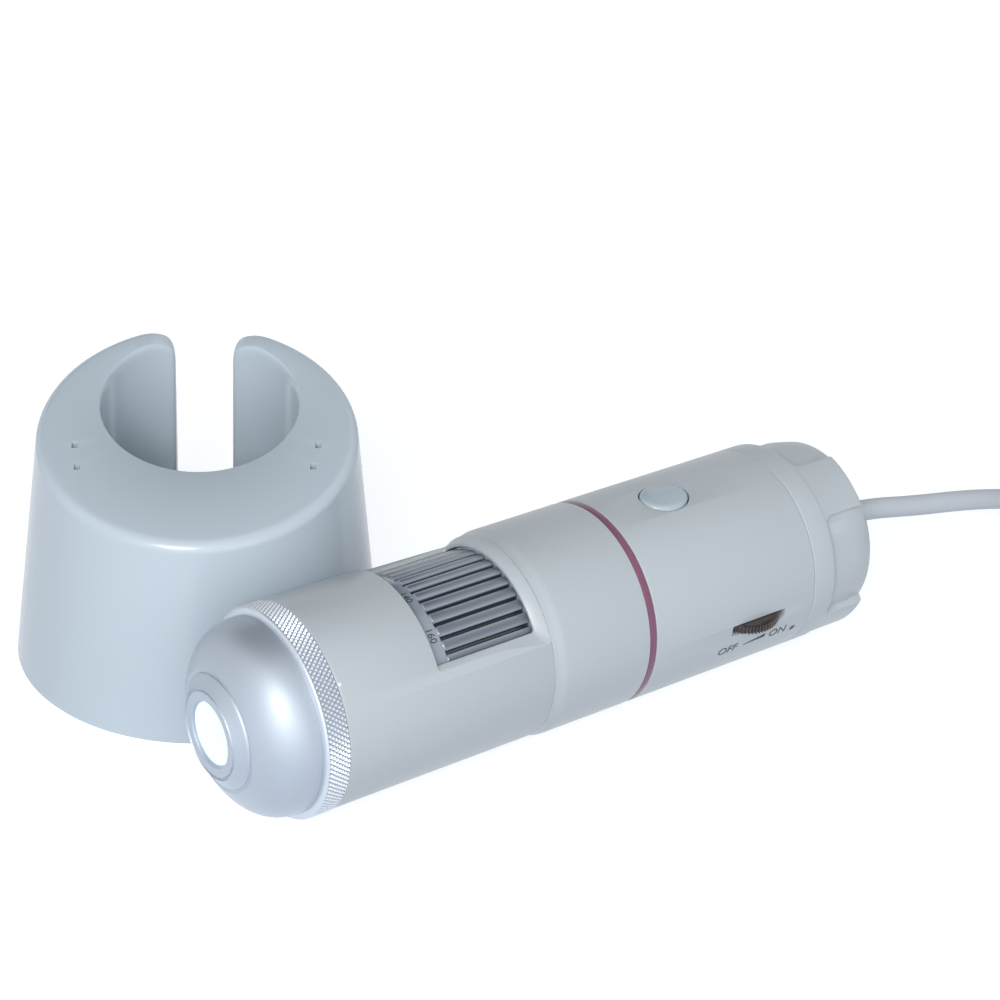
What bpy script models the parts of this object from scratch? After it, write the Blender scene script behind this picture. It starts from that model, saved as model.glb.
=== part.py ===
# Handheld digital microscope on a lead, lying beside its slanted C-shaped stand.
#
# The microscope is a round plastic barrel. Its axis runs along X, nose towards -X.
# Stations along the barrel are measured from the rear face of the knurled ring.
# Lengths are in metres and angles in degrees. The table top is the plane z = 0.
# Angles round the barrel are measured from -Y, turning up through +Z.

import bpy
import bmesh
import math
from mathutils import Matrix
from mathutils import Vector


# Overall sizes

BODY_RADIUS = 0.0175
CLEARANCE = 0.0003
CUT_OVERRUN = 0.002
MERGE_DISTANCE = 0.000001
SMOOTH_ANGLE = 35.0
SHELL_SEGMENTS = 44
INNER_SEGMENTS = 32
SMALL_SEGMENTS = 20
TOP_ANGLE = 90.0
BARREL_ROLL = 5.0

# Barrel shells, from the nose to the rear

BARREL_WALL = 0.0014
SPIGOT_WALL = 0.0014
SPIGOT_LENGTH = 0.0034
FRONT_STEP = 0.0004
FRONT_LENGTH = 0.0385
MIDDLE_LENGTH = 0.0191
ACCENT_WIDTH = 0.0011
ACCENT_INSET = 0.00025
REAR_LENGTH = 0.0342
EDGE_ROUND = 0.0004
SHOULDER_LENGTH = 0.0022
LEDGE_THICKNESS = 0.0012

# Knurled ring

KNURL_LENGTH = 0.0042
KNURL_PROUD = 0.0002
KNURL_LIP = 0.0005
KNURL_LIP_DROP = 0.00035

# Nose cone and its light window

NOSE_INSET = 0.0011
NOSE_DOME_LENGTH = 0.0109
NOSE_BULGE_ALONG = 2.47
NOSE_BULGE_ACROSS = 1.7
NOSE_WALL = 0.0016
NOSE_SPIGOT_LENGTH = 0.0021
NOSE_DOME_STEPS = 6
BOSS_SHARE = 0.594
BOSS_PROUD = 0.0003
BOSS_RISE = 0.0012
BOSS_GROOVE_WIDTH = 0.0004
BOSS_GROOVE_DEPTH = 0.0004
BOSS_EDGE = 0.0003
FACE_GROOVE_SHARE = 0.735
FACE_GROOVE_WIDTH = 0.0004
FACE_GROOVE_DEPTH = 0.0003
WINDOW_SHARE = 0.537
WINDOW_SINK = 0.0008
WINDOW_FLANGE = 0.0011
WINDOW_FLANGE_THICKNESS = 0.0009
WINDOW_CROWN = 0.0002
NOSE_LEDGE_INSET = 0.0027
NOSE_LEDGE_WIDTH = 0.0010
NOSE_LEDGE_DEPTH = 0.0025
NOSE_POCKET_LENGTH = 0.0034

# Light board behind the window

LED_BOARD_THICKNESS = 0.0010
LED_BOARD_HOLE_SHARE = 0.43
LED_COUNT = 8
LED_CIRCLE_SHARE = 0.745
LED_SIZE = 0.0016
LED_HEIGHT = 0.0007
LED_BEVEL = 0.00025

# Opening over the focus wheel, and the wheel

OPENING_START = 0.0176
OPENING_REAR_RIM = 0.0020
OPENING_HALF_ANGLE = 51.5
OPENING_CORNER = 0.0007
OPENING_BEVEL_DEPTH = 0.0009
OPENING_BEVEL_SIDE = 0.0009
OPENING_BEVEL_WIDENING = 0.0011
OPENING_BEVEL_REAR = 0.0016
OPENING_BEVEL_FRONT = 0.0002
OPENING_SLICES = 14
WHEEL_RIBS = 40
RIB_DEPTH = 0.0008
RIB_LAND_SHARE = 0.70
RIB_FLANK_SHARE = 0.10
WHEEL_FLANGE_WIDTH = 0.0030
WHEEL_END_SHRINK = 0.0003
CAM_WALL = 0.0014
CAM_END_WALL = 0.0022

# Guide tube and lens carriage inside

GUIDE_SHARE = 0.682
GUIDE_WALL = 0.0015
GUIDE_FRONT_GAP = 0.0006
GUIDE_REACH = 0.0135
GUIDE_FLANGE_THICKNESS = 0.0016
GUIDE_WEB_THICKNESS = 0.0012
LENS_TRAVEL = 0.0050
LENS_BARREL_LENGTH = 0.0200
LENS_BARREL_WALL = 0.0014
LUG_RADIUS = 0.0015
LUG_TIP_CLEARANCE = 0.0005
LUG_FROM_REAR_SHARE = 0.14
LENS_SEAT_WALL = 0.0012
OBJECTIVE_THICKNESS = 0.0026
OBJECTIVE_CROWN = 0.0012
OBJECTIVE_DEPTH = 0.0022
RETAINER_THICKNESS = 0.0010
RETAINER_WALL = 0.0013
REAR_LENS_SHARE = 0.45
REAR_LENS_THICKNESS = 0.0020
REAR_LENS_CROWN = 0.0007
LENS_CROWN_SHARES = (0.4, 0.75, 1.0)
REAR_LENS_INSET = 0.0030
LENS_STOP_WALL = 0.0012

# Sensor behind the lenses

SENSOR_BOARD_THICKNESS = 0.0012
SENSOR_SIZE = 0.0080
SENSOR_HEIGHT = 0.0016
SENSOR_GLASS_INSET = 0.0009
SENSOR_GLASS_STEP = 0.0003
RIBBON_WIDTH = 0.0080
RIBBON_THICKNESS = 0.0003
RIBBON_LOOP = 0.0030
RIBBON_STEPS = 8

# Main board and what is on it

BOARD_PLANE = 0.0032
BOARD_THICKNESS = 0.0012
BOARD_EDGE_MARGIN = 0.0004
BOARD_CORNER = 0.0015
CHIP_LENGTH = 0.0070
CHIP_HEIGHT = 0.0012
CHIP_STATION_SHARE = 0.72
CARRIER_WALL = 0.0015
SWITCH_SIZE = 0.0060
SWITCH_HEIGHT = 0.0034
SWITCH_BEVEL = 0.0004
SWITCH_PLUNGER_RADIUS = 0.0016
SWITCH_PLUNGER_HEIGHT = 0.0006
POT_SIZE = 0.0048
POT_HEIGHT = 0.0018
POT_BEVEL = 0.0005

# Snapshot button

BUTTON_STATION = 0.0125
BUTTON_HALF_LENGTH = 0.0043
BUTTON_HALF_WIDTH = 0.0036
BUTTON_CROWN = 0.0005
BUTTON_CROWN_SHARES = ((0.45, 0.88), (0.85, 0.6), (1.0, 0.25))
BUTTON_RIM_PROUD = 0.0001
BUTTON_TRAVEL = 0.0006
BUTTON_FLANGE = 0.0009
BUTTON_FLANGE_THICKNESS = 0.0010
BUTTON_STEM_RADIUS = 0.0012
BUTTON_SEGMENTS = 24

# Brightness dial

DIAL_STATION = 0.0221
DIAL_RADIUS = 0.0072
DIAL_PROUD = 0.0024
DIAL_THICKNESS = 0.0020
DIAL_TOP = 0.0004
DIAL_TEETH = 28
DIAL_TOOTH_DEPTH = 0.00035
DIAL_TOOTH_SHARE = 0.55
DIAL_RIM_BEVEL = 0.0003
DIAL_HUB_RADIUS = 0.0026
DIAL_HUB_HEIGHT = 0.0003
DIAL_SHAFT_RADIUS = 0.0012
DIAL_SHAFT_LENGTH = 0.0018
DIAL_WALL_LEFT = 0.0007

# Rear cap with its four lobes

CAP_LENGTH = 0.0171
CAP_BAND = 0.0045
CAP_LOBES = 4
CAP_LOBE_SPAN = 34.0
CAP_FIRST_LOBE_ANGLE = 63.0
CAP_LOBE_LENGTH = 0.0083
CAP_LOBE_DROP = 0.0002
CAP_LOBE_ROUND = 0.0008
CAP_POCKET_DEPTH = 0.0013
CAP_POCKET_CORNER = 0.0016
CAP_POCKET_FALL = 0.0006
CAP_POCKET_SLICES = 8
CAP_DOME_STEPS = 4
CAP_END_RADIUS = 0.0100
CAP_END_WALL = 0.0028

# Rubber gland at the rear

GLAND_NECK_RADIUS = 0.0027
GLAND_FLANGE_RADIUS = 0.0042
GLAND_FLANGE_THICKNESS = 0.0016
GLAND_COLLAR_LENGTH = 0.0035
GLAND_TIP_RADIUS = 0.0023

# Stand

STAND_SKIRT = 0.0147
STAND_TAPER = 0.107
STAND_HEIGHT = 0.0421
STAND_SLANT = 0.247
STAND_BORE_FIT = 0.0003
STAND_BORE_OFFSET = 0.0061
STAND_SLOT_WIDTH = 0.0098
STAND_HORN_OUTER_ROUND = 0.0019
STAND_HORN_INNER_ROUND = 0.0009
STAND_HORN_TOP_ROUND = 0.0052
STAND_END_CROWDING_SHARE = 0.4
STAND_EDGE_ROUND = 0.0018
STAND_INNER_EDGE_SHARE = 0.25
STAND_WALL = 0.0016
STAND_TOP_WALL = 0.0022
STAND_FOOT_CHAMFER = 0.0004
STAND_POCKET_HALF_WIDTH = 0.0132
STAND_POCKET_ROUND = 0.0006
STAND_TURN = -32.7
STAND_STATION = 0.0107
STAND_GAP = 0.0004
STAND_OUTER_STEPS = 50
STAND_BORE_STEPS = 34
STAND_CORNER_STEPS = 3
STAND_ROUND_STEPS = 3
VENT_SIZE = 0.0009
VENT_SIDE_SHARE = 0.629
VENT_FRONT = 0.0088
VENT_PITCH = 0.0051

# Lead, its coil, tie and plug

CORD_DIAMETER = 0.0038
CORD_DROP_POINTS = (
    (0.0000, 0.0175),
    (0.0050, 0.0171),
    (0.0102, 0.0162),
    (0.0165, 0.0147),
    (0.0228, 0.0133),
    (0.0295, 0.0119),
    (0.0370, 0.0101),
    (0.0440, 0.0081),
    (0.0510, 0.0059),
    (0.0570, 0.0041),
    (0.0615, 0.0031),
    (0.0650, 0.0028),
)
CORD_SAMPLES = 11
TURN_GAP = 0.00046
COIL_LAYERS = 4
COIL_TURNS_PER_LAYER = 2.1
COIL_INNER_RADIUS = 0.0159
COIL_POINTS_PER_TURN = 24
COIL_CLIMB_TURNS = 0.5
TAIL_BEND_RADIUS = 0.0160
TAIL_BEND_ANGLE = 120.0
TAIL_BEND_STEPS = 9
TAIL_STRAIGHT = 0.0052
TAIL_EARLY_RISE_SHARE = 0.5
TAIL_RISE_SHARE = 0.62
TIE_ANGLE = 60.0
TIE_WIDTH = 0.0060
TIE_THICKNESS = 0.0006
TIE_INNER_CLEARANCE = 0.0007
TIE_CORNER = 0.0015
TIE_CORNER_STEPS = 3
GRIP_LENGTH = 0.0220
GRIP_WIDTH = 0.0130
GRIP_HEIGHT = 0.0080
GRIP_NECK_LENGTH = 0.0060
GRIP_NECK_WIDTH = 0.0058
GRIP_CORNER = 0.0018
GRIP_FLUTES = 3
GRIP_FLUTE_DEPTH = 0.0006
GRIP_FLUTE_WIDTH = 0.0012
GRIP_FLUTE_PITCH = 0.0024
PLUG_SHELL_LENGTH = 0.0125
PLUG_SHELL_WIDTH = 0.0120
PLUG_SHELL_HEIGHT = 0.0045
PLUG_SHELL_WALL = 0.0005
PLUG_TONGUE_SHARE = 0.45
PLUG_WINDOW_SIZE = 0.0023
PLUG_WINDOW_SPACING = 0.0060
PLUG_WINDOW_STATION = 0.0060


# Values worked out from the sizes above

front_radius = BODY_RADIUS - FRONT_STEP
front_bore = front_radius - BARREL_WALL
barrel_bore = BODY_RADIUS - BARREL_WALL
spigot_radius = barrel_bore - CLEARANCE
spigot_bore = spigot_radius - SPIGOT_WALL
half_gap = CLEARANCE / 2

front_end = FRONT_LENGTH
accent_start = front_end + MIDDLE_LENGTH
accent_end = accent_start + ACCENT_WIDTH
cap_start = accent_end + REAR_LENGTH
cap_end = cap_start + CAP_LENGTH
gland_end = cap_end + GLAND_COLLAR_LENGTH

nose_base_radius = front_radius - NOSE_INSET
boss_radius = nose_base_radius * BOSS_SHARE
face_groove_radius = boss_radius * FACE_GROOVE_SHARE
window_radius = boss_radius * WINDOW_SHARE
nose_ledge_radius = spigot_bore - NOSE_LEDGE_INSET
led_circle_radius = window_radius * LED_CIRCLE_SHARE
led_board_hole = window_radius * LED_BOARD_HOLE_SHARE

wheel_radius = front_bore - CLEARANCE
guide_radius = front_bore * GUIDE_SHARE
rear_lens_radius = guide_radius * REAR_LENS_SHARE
wheel_root = wheel_radius - RIB_DEPTH
wheel_bore = guide_radius + CLEARANCE
opening_end = front_end - OPENING_REAR_RIM
wheel_start = OPENING_START + CLEARANCE
wheel_end = opening_end + CLEARANCE
cam_radius = wheel_root - CAM_WALL
cam_start = wheel_start + CAM_END_WALL
cam_end = wheel_end - CAM_END_WALL

guide_bore = guide_radius - GUIDE_WALL
lens_barrel_radius = guide_bore - CLEARANCE
lens_barrel_bore = lens_barrel_radius - LENS_BARREL_WALL
lug_station = (cam_start + cam_end) / 2
lens_barrel_rear = lug_station + LENS_BARREL_LENGTH * LUG_FROM_REAR_SHARE
lens_barrel_front = lens_barrel_rear - LENS_BARREL_LENGTH
guide_rear = front_end + GUIDE_REACH

board_start = accent_end + SPIGOT_LENGTH + CLEARANCE
board_end = cap_start - SPIGOT_LENGTH - CLEARANCE
carrier_radius = barrel_bore - CLEARANCE
board_top = BOARD_PLANE + BOARD_THICKNESS
board_half_width = math.sqrt(carrier_radius ** 2 - board_top ** 2) - BOARD_EDGE_MARGIN
button_station = accent_end + BUTTON_STATION
dial_station = accent_end + DIAL_STATION
dial_offset = BODY_RADIUS + DIAL_PROUD - DIAL_RADIUS
dial_low = DIAL_TOP - DIAL_THICKNESS

stand_bore_radius = nose_base_radius + STAND_BORE_FIT
stand_base_radius = stand_bore_radius + STAND_SKIRT
vent_side = stand_base_radius * VENT_SIDE_SHARE
stand_radius_at_axis = stand_base_radius - STAND_TAPER * BODY_RADIUS
side_slope = math.sqrt(1 + STAND_TAPER ** 2)
stand_distance = stand_radius_at_axis + front_radius * side_slope + STAND_GAP

low_x = STAND_STATION - stand_base_radius
high_x = gland_end
low_y = -BODY_RADIUS - DIAL_PROUD
high_y = stand_distance + stand_base_radius
origin_x = (low_x + high_x) / 2
origin_y = (low_y + high_y) / 2

cord_radius = CORD_DIAMETER / 2
turn_pitch = CORD_DIAMETER + TURN_GAP
coil_outer_radius = COIL_INNER_RADIUS + COIL_TURNS_PER_LAYER * turn_pitch
coil_base = TIE_THICKNESS + CLEARANCE + cord_radius
coil_top = coil_base + (COIL_LAYERS - 1) * turn_pitch
plug_plane = coil_top + cord_radius + CLEARANCE + GRIP_HEIGHT / 2


# Building blocks

def clear_scene():
    for old in list(bpy.data.objects):
        bpy.data.objects.remove(old, do_unlink=True)


def make_material(name, colour, roughness, metallic=0.0, alpha=1.0):
    material = bpy.data.materials.new(name)
    material.use_nodes = True
    shader = material.node_tree.nodes["Principled BSDF"]
    shader.inputs["Base Color"].default_value = (*colour, 1.0)
    shader.inputs["Roughness"].default_value = roughness
    shader.inputs["Metallic"].default_value = metallic
    shader.inputs["Alpha"].default_value = alpha
    return material


def make_empty(name, location, parent=None, turn=0.0, roll=0.0):
    empty = bpy.data.objects.new(name, None)
    empty.location = location
    empty.rotation_euler = (math.radians(roll), 0.0, math.radians(turn))
    empty.parent = parent
    bpy.context.scene.collection.objects.link(empty)
    return empty


def finish_object(name, bm, material, parent, location=(0.0, 0.0, 0.0)):
    """Turn a bmesh into a smooth shaded object and hang it on its parent."""
    bmesh.ops.recalc_face_normals(bm, faces=bm.faces)
    mesh = bpy.data.meshes.new(name)
    bm.to_mesh(mesh)
    bm.free()
    mesh.shade_smooth()
    mesh.set_sharp_from_angle(angle=math.radians(SMOOTH_ANGLE))
    if material is not None:
        mesh.materials.append(material)
    thing = bpy.data.objects.new(name, mesh)
    thing.location = location
    thing.parent = parent
    bpy.context.scene.collection.objects.link(thing)
    return thing


def combine(thing, tool, operation):
    """Cut a tool from an object, or join it on, with a Boolean modifier."""
    tool.hide_render = True
    tool.display_type = "WIRE"
    change = thing.modifiers.new(tool.name, "BOOLEAN")
    change.operation = operation
    change.solver = "EXACT"
    change.object = tool


def cut(thing, tool):
    combine(thing, tool, "DIFFERENCE")


def join(thing, tool):
    combine(thing, tool, "UNION")


def turned(profile, segments):
    """Spin a profile of (station, radius) points round the X axis.

    A profile that starts on the axis also ends there. Any other closes on itself.
    """
    bm = bmesh.new()
    points = [bm.verts.new((along, radius, 0.0)) for along, radius in profile]
    edges = [bm.edges.new(pair) for pair in zip(points, points[1:])]
    if profile[0][1] > 0:
        edges.append(bm.edges.new((points[-1], points[0])))
    bmesh.ops.spin(
        bm,
        geom=points + edges,
        cent=(0.0, 0.0, 0.0),
        axis=(1.0, 0.0, 0.0),
        angle=math.tau,
        steps=segments,
        use_merge=True,
    )
    bmesh.ops.remove_doubles(bm, verts=bm.verts, dist=MERGE_DISTANCE)
    return bm


def stacked(loops, close=False):
    """Skin a stack of loops that have equal counts, with flat ends or closed as a ring."""
    bm = bmesh.new()
    rings = [[bm.verts.new(point) for point in loop] for loop in loops]
    pairs = list(zip(rings, rings[1:]))
    if close:
        pairs.append((rings[-1], rings[0]))
    else:
        bm.faces.new(rings[0])
        bm.faces.new(rings[-1])
    for near, far in pairs:
        count = len(near)
        for i in range(count):
            j = (i + 1) % count
            bm.faces.new((near[i], near[j], far[j], far[i]))
    return bm


def box(low, high, bevel=0.0, steps=2):
    """A block between two corners, with all its edges rounded if a bevel is given."""
    bm = bmesh.new()
    size = Vector(high) - Vector(low)
    centre = (Vector(high) + Vector(low)) / 2
    place = Matrix.Translation(centre) @ Matrix.Diagonal((*size, 1.0))
    bmesh.ops.create_cube(bm, size=1.0, matrix=place)
    if bevel > 0:
        bmesh.ops.bevel(
            bm, geom=list(bm.edges), offset=bevel, segments=steps, profile=0.5, affect="EDGES"
        )
    return bm


def cylinder(radius, low, high, segments, axis="Z"):
    """A plain round bar between two heights on one axis."""
    bm = bmesh.new()
    place = Matrix.Translation((0.0, 0.0, (low + high) / 2))
    bmesh.ops.create_cone(
        bm,
        cap_ends=True,
        segments=segments,
        radius1=radius,
        radius2=radius,
        depth=high - low,
        matrix=place,
    )
    if axis == "X":
        bm.transform(Matrix.Rotation(math.radians(90.0), 4, "Y"))
    if axis == "Y":
        bm.transform(Matrix.Rotation(math.radians(-90.0), 4, "X"))
    return bm


def on_barrel(station, angle, radius):
    """A point at a station, at an angle from -Y up through +Z, at a radius from the axis."""
    turn = math.radians(angle)
    return Vector((station, -radius * math.cos(turn), radius * math.sin(turn)))


def wrapped_block(start, end, centre_angle, span, inner, outer, corner, slices, shape=None):
    """A block wrapped round the barrel, used to cut openings with rounded corners.

    The block is made flat, its four upright edges are rounded, it is sliced along its
    arc, and each point is then laid on the cylinder. The arc lengths hold at the outer
    radius. shape may move a flat point (station, arc, radius) before it is wrapped.
    """
    half_arc = math.radians(span) / 2 * outer
    bm = box((start, -half_arc, inner), (end, half_arc, outer))
    upright = []
    for edge in bm.edges:
        if abs((edge.verts[0].co - edge.verts[1].co).z) > (outer - inner) / 2:
            upright.append(edge)
    bmesh.ops.bevel(bm, geom=upright, offset=corner, segments=3, profile=0.5, affect="EDGES")
    for i in range(1, slices):
        place = (0.0, -half_arc + 2 * half_arc * i / slices, 0.0)
        every = list(bm.verts) + list(bm.edges) + list(bm.faces)
        bmesh.ops.bisect_plane(bm, geom=every, plane_co=place, plane_no=(0.0, 1.0, 0.0))
    if shape is not None:
        shape(bm, half_arc)
    for vert in bm.verts:
        station, arc, radius = vert.co
        vert.co = on_barrel(station, centre_angle + math.degrees(arc / outer), radius)
    return bm


def rounded_rectangle(width, height, corner, steps):
    """Corner points of a rounded rectangle about the origin, anticlockwise."""
    points = []
    for k, (side, up) in enumerate(((1, 1), (-1, 1), (-1, -1), (1, -1))):
        centre = Vector((side * (width / 2 - corner), up * (height / 2 - corner)))
        for i in range(steps + 1):
            turn = math.radians(90.0) * (k + i / steps)
            points.append(centre + corner * Vector((math.cos(turn), math.sin(turn))))
    return points


def tube(name, points, material, parent, resolution):
    """A capped tube of the cord's diameter along a row of points."""
    curve = bpy.data.curves.new(name, "CURVE")
    curve.dimensions = "3D"
    curve.bevel_depth = cord_radius
    curve.bevel_resolution = resolution
    curve.use_fill_caps = True
    line = curve.splines.new("POLY")
    line.points.add(len(points) - 1)
    for spot, point in zip(line.points, points):
        spot.co = (*point, 1.0)
    curve.materials.append(material)
    thing = bpy.data.objects.new(name, curve)
    thing.parent = parent
    bpy.context.scene.collection.objects.link(thing)
    return thing


def smooth_line(points, count):
    """Read points from a Catmull-Rom curve through the route's own points."""
    ends = [2 * points[0] - points[1]] + list(points) + [2 * points[-1] - points[-2]]
    result = []
    spans = len(points) - 1
    for i in range(count):
        place = spans * i / (count - 1)
        k = min(int(place), spans - 1)
        t = place - k
        a, b, c, d = ends[k:k + 4]
        result.append(
            0.5 * (
                2 * b
                + (c - a) * t
                + (2 * a - 5 * b + 4 * c - d) * t ** 2
                + (3 * b - a - 3 * c + d) * t ** 3
            )
        )
    return result


def line_length(points):
    return sum((b - a).length for a, b in zip(points, points[1:]))


# Nose, ring and light

def nose_radius(station):
    """Radius of the outer dome, a blunt oval that ends in the boss."""
    reach = (-KNURL_LENGTH - CLEARANCE - station) / NOSE_DOME_LENGTH
    return nose_base_radius * (1 - reach ** NOSE_BULGE_ALONG) ** (1 / NOSE_BULGE_ACROSS)


def nose_station(radius):
    share = radius / nose_base_radius
    reach = (1 - share ** NOSE_BULGE_ACROSS) ** (1 / NOSE_BULGE_ALONG)
    return -KNURL_LENGTH - CLEARANCE - NOSE_DOME_LENGTH * reach


nose_base = -KNURL_LENGTH - CLEARANCE
dome_front_radius = boss_radius + BOSS_GROOVE_WIDTH
dome_front = nose_station(dome_front_radius)
boss_edge = dome_front - BOSS_PROUD
nose_face = boss_edge - BOSS_RISE
window_bore = window_radius + CLEARANCE
window_seat = nose_face + NOSE_WALL
led_board_front = window_seat + NOSE_LEDGE_DEPTH + CLEARANCE
led_board_rear = led_board_front + LED_BOARD_THICKNESS
guide_front = led_board_rear + GUIDE_FRONT_GAP


def build_nose(materials, barrel):
    groove_end = face_groove_radius + FACE_GROOVE_WIDTH
    pocket_radius = nose_ledge_radius + NOSE_LEDGE_WIDTH
    ledge = window_seat + NOSE_LEDGE_DEPTH
    profile = [
        (window_seat, window_bore),
        (nose_face, window_bore),
        (nose_face, face_groove_radius),
        (nose_face + FACE_GROOVE_DEPTH, (face_groove_radius + groove_end) / 2),
        (nose_face, groove_end),
        (boss_edge, boss_radius - BOSS_EDGE),
        (boss_edge + BOSS_EDGE, boss_radius),
        (dome_front + BOSS_GROOVE_DEPTH, boss_radius),
        (dome_front, dome_front_radius),
    ]
    start_angle = math.asin(dome_front_radius / nose_base_radius)
    for i in range(1, NOSE_DOME_STEPS + 1):
        angle = start_angle + (math.radians(90.0) - start_angle) * i / NOSE_DOME_STEPS
        radius = nose_base_radius * math.sin(angle)
        profile.append((nose_station(radius), radius))
    profile += [
        (nose_base, spigot_radius),
        (nose_base + NOSE_SPIGOT_LENGTH, spigot_radius),
        (nose_base + NOSE_SPIGOT_LENGTH, spigot_bore),
        (ledge + NOSE_POCKET_LENGTH, spigot_bore),
        (ledge + NOSE_POCKET_LENGTH, pocket_radius),
        (ledge, pocket_radius),
        (ledge, nose_ledge_radius),
        (window_seat, nose_radius(window_seat) - NOSE_WALL),
    ]
    finish_object("nose_cone", turned(profile, SHELL_SEGMENTS), materials["silver"], barrel)

    lip_radius = BODY_RADIUS - KNURL_LIP_DROP
    crest = front_radius + KNURL_PROUD
    ring = [
        (-KNURL_LENGTH, barrel_bore),
        (-KNURL_LENGTH, lip_radius - KNURL_LIP),
        (-KNURL_LENGTH + KNURL_LIP, lip_radius),
        (-KNURL_LENGTH + KNURL_LIP, crest),
        (-KNURL_LIP, crest),
        (0.0, crest - KNURL_LIP_DROP),
        (0.0, barrel_bore),
    ]
    finish_object("knurled_ring", turned(ring, SHELL_SEGMENTS), materials["ring"], barrel)

    flange_front = window_seat + CLEARANCE
    flange_radius = window_radius + WINDOW_FLANGE
    window = [
        (nose_face + WINDOW_SINK - WINDOW_CROWN, 0.0),
        (nose_face + WINDOW_SINK, window_radius - WINDOW_CROWN),
        (nose_face + WINDOW_SINK + WINDOW_CROWN, window_radius),
        (flange_front, window_radius),
        (flange_front, flange_radius),
        (flange_front + WINDOW_FLANGE_THICKNESS, flange_radius),
        (flange_front + WINDOW_FLANGE_THICKNESS, 0.0),
    ]
    finish_object("light_window", turned(window, INNER_SEGMENTS), materials["lit"], barrel)


def build_light_board(materials, barrel):
    outer = nose_ledge_radius + NOSE_LEDGE_WIDTH - CLEARANCE
    board = [
        (led_board_front, led_board_hole),
        (led_board_front, outer),
        (led_board_rear, outer),
        (led_board_rear, led_board_hole),
    ]
    finish_object("led_board", turned(board, INNER_SEGMENTS), materials["board"], barrel)
    high = led_board_front - CLEARANCE
    half = LED_SIZE / 2
    for i in range(LED_COUNT):
        turn = math.tau * i / LED_COUNT
        y = led_circle_radius * math.cos(turn)
        z = led_circle_radius * math.sin(turn)
        lamp = box((high - LED_HEIGHT, -half, -half), (high, half, half))
        face = min(lamp.faces, key=lambda item: item.calc_center_median().x)
        rim = [edge for edge in face.edges]
        bmesh.ops.bevel(lamp, geom=rim, offset=LED_BEVEL, segments=1, profile=0.5, affect="EDGES")
        lamp.transform(Matrix.Rotation(turn, 4, "X"))
        finish_object(f"led_{i + 1}", lamp, materials["lit"], barrel, (0.0, y, z))


# Barrel shells

def build_front_barrel(materials, barrel):
    spigot_end = -NOSE_SPIGOT_LENGTH + CLEARANCE
    profile = [
        (spigot_end, spigot_bore),
        (spigot_end, spigot_radius),
        (CLEARANCE, spigot_radius),
        (CLEARANCE, front_radius - EDGE_ROUND),
        (CLEARANCE + EDGE_ROUND, front_radius),
        (front_end - half_gap, front_radius),
        (front_end - half_gap, front_bore),
        (OPENING_START, front_bore),
        (OPENING_START, spigot_bore),
    ]
    shell = finish_object("front_barrel", turned(profile, SHELL_SEGMENTS), materials["grey"], barrel)

    inner = wheel_bore
    bevel_radius = front_radius - OPENING_BEVEL_DEPTH
    outer = front_radius + CUT_OVERRUN
    spread = (outer - bevel_radius) / OPENING_BEVEL_DEPTH

    def flare(bm, half_arc):
        every = list(bm.verts) + list(bm.edges) + list(bm.faces)
        place = (0.0, 0.0, bevel_radius)
        bmesh.ops.bisect_plane(bm, geom=every, plane_co=place, plane_no=(0.0, 0.0, 1.0))
        middle = (OPENING_START + opening_end) / 2
        for vert in bm.verts:
            if vert.co.z < outer - MERGE_DISTANCE:
                continue
            along = (vert.co.x - OPENING_START) / (opening_end - OPENING_START)
            side = OPENING_BEVEL_SIDE + OPENING_BEVEL_WIDENING * along
            vert.co.y *= 1 + side * spread / half_arc
            if vert.co.x > middle:
                vert.co.x += OPENING_BEVEL_REAR * spread * (vert.co.x - middle) / (opening_end - middle)
            else:
                vert.co.x -= OPENING_BEVEL_FRONT * spread

    cutter = wrapped_block(
        OPENING_START,
        opening_end,
        TOP_ANGLE,
        2 * OPENING_HALF_ANGLE,
        inner,
        outer,
        OPENING_CORNER,
        OPENING_SLICES,
        flare,
    )
    cut(shell, finish_object("wheel_opening_tool", cutter, None, barrel))


def build_middle_barrel(materials, barrel):
    start = front_end + half_gap
    neck = wheel_end + CLEARANCE
    neck_radius = front_bore - CLEARANCE
    ledge_end = start + LEDGE_THICKNESS
    neck_bore = guide_radius + LEDGE_THICKNESS
    end = accent_start - half_gap
    profile = [
        (neck, neck_bore),
        (neck, neck_radius),
        (start, neck_radius),
        (start, front_radius - EDGE_ROUND),
        (start + EDGE_ROUND, front_radius),
        (start + SHOULDER_LENGTH / 2, BODY_RADIUS - FRONT_STEP / 4),
        (start + SHOULDER_LENGTH, BODY_RADIUS),
        (end - EDGE_ROUND / 2, BODY_RADIUS),
        (end, BODY_RADIUS - EDGE_ROUND / 2),
        (end, barrel_bore),
        (ledge_end, barrel_bore),
        (ledge_end, neck_bore),
    ]
    finish_object("middle_barrel", turned(profile, SHELL_SEGMENTS), materials["grey"], barrel)

    ring_start = accent_start + half_gap
    ring_end = accent_end - half_gap
    ring_radius = BODY_RADIUS - ACCENT_INSET
    accent = [
        (ring_start, barrel_bore),
        (ring_start, ring_radius - ACCENT_INSET),
        (ring_start + ACCENT_INSET, ring_radius),
        (ring_end - ACCENT_INSET, ring_radius),
        (ring_end, ring_radius - ACCENT_INSET),
        (ring_end, barrel_bore),
    ]
    finish_object("accent_ring", turned(accent, SHELL_SEGMENTS), materials["mauve"], barrel)


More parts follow.
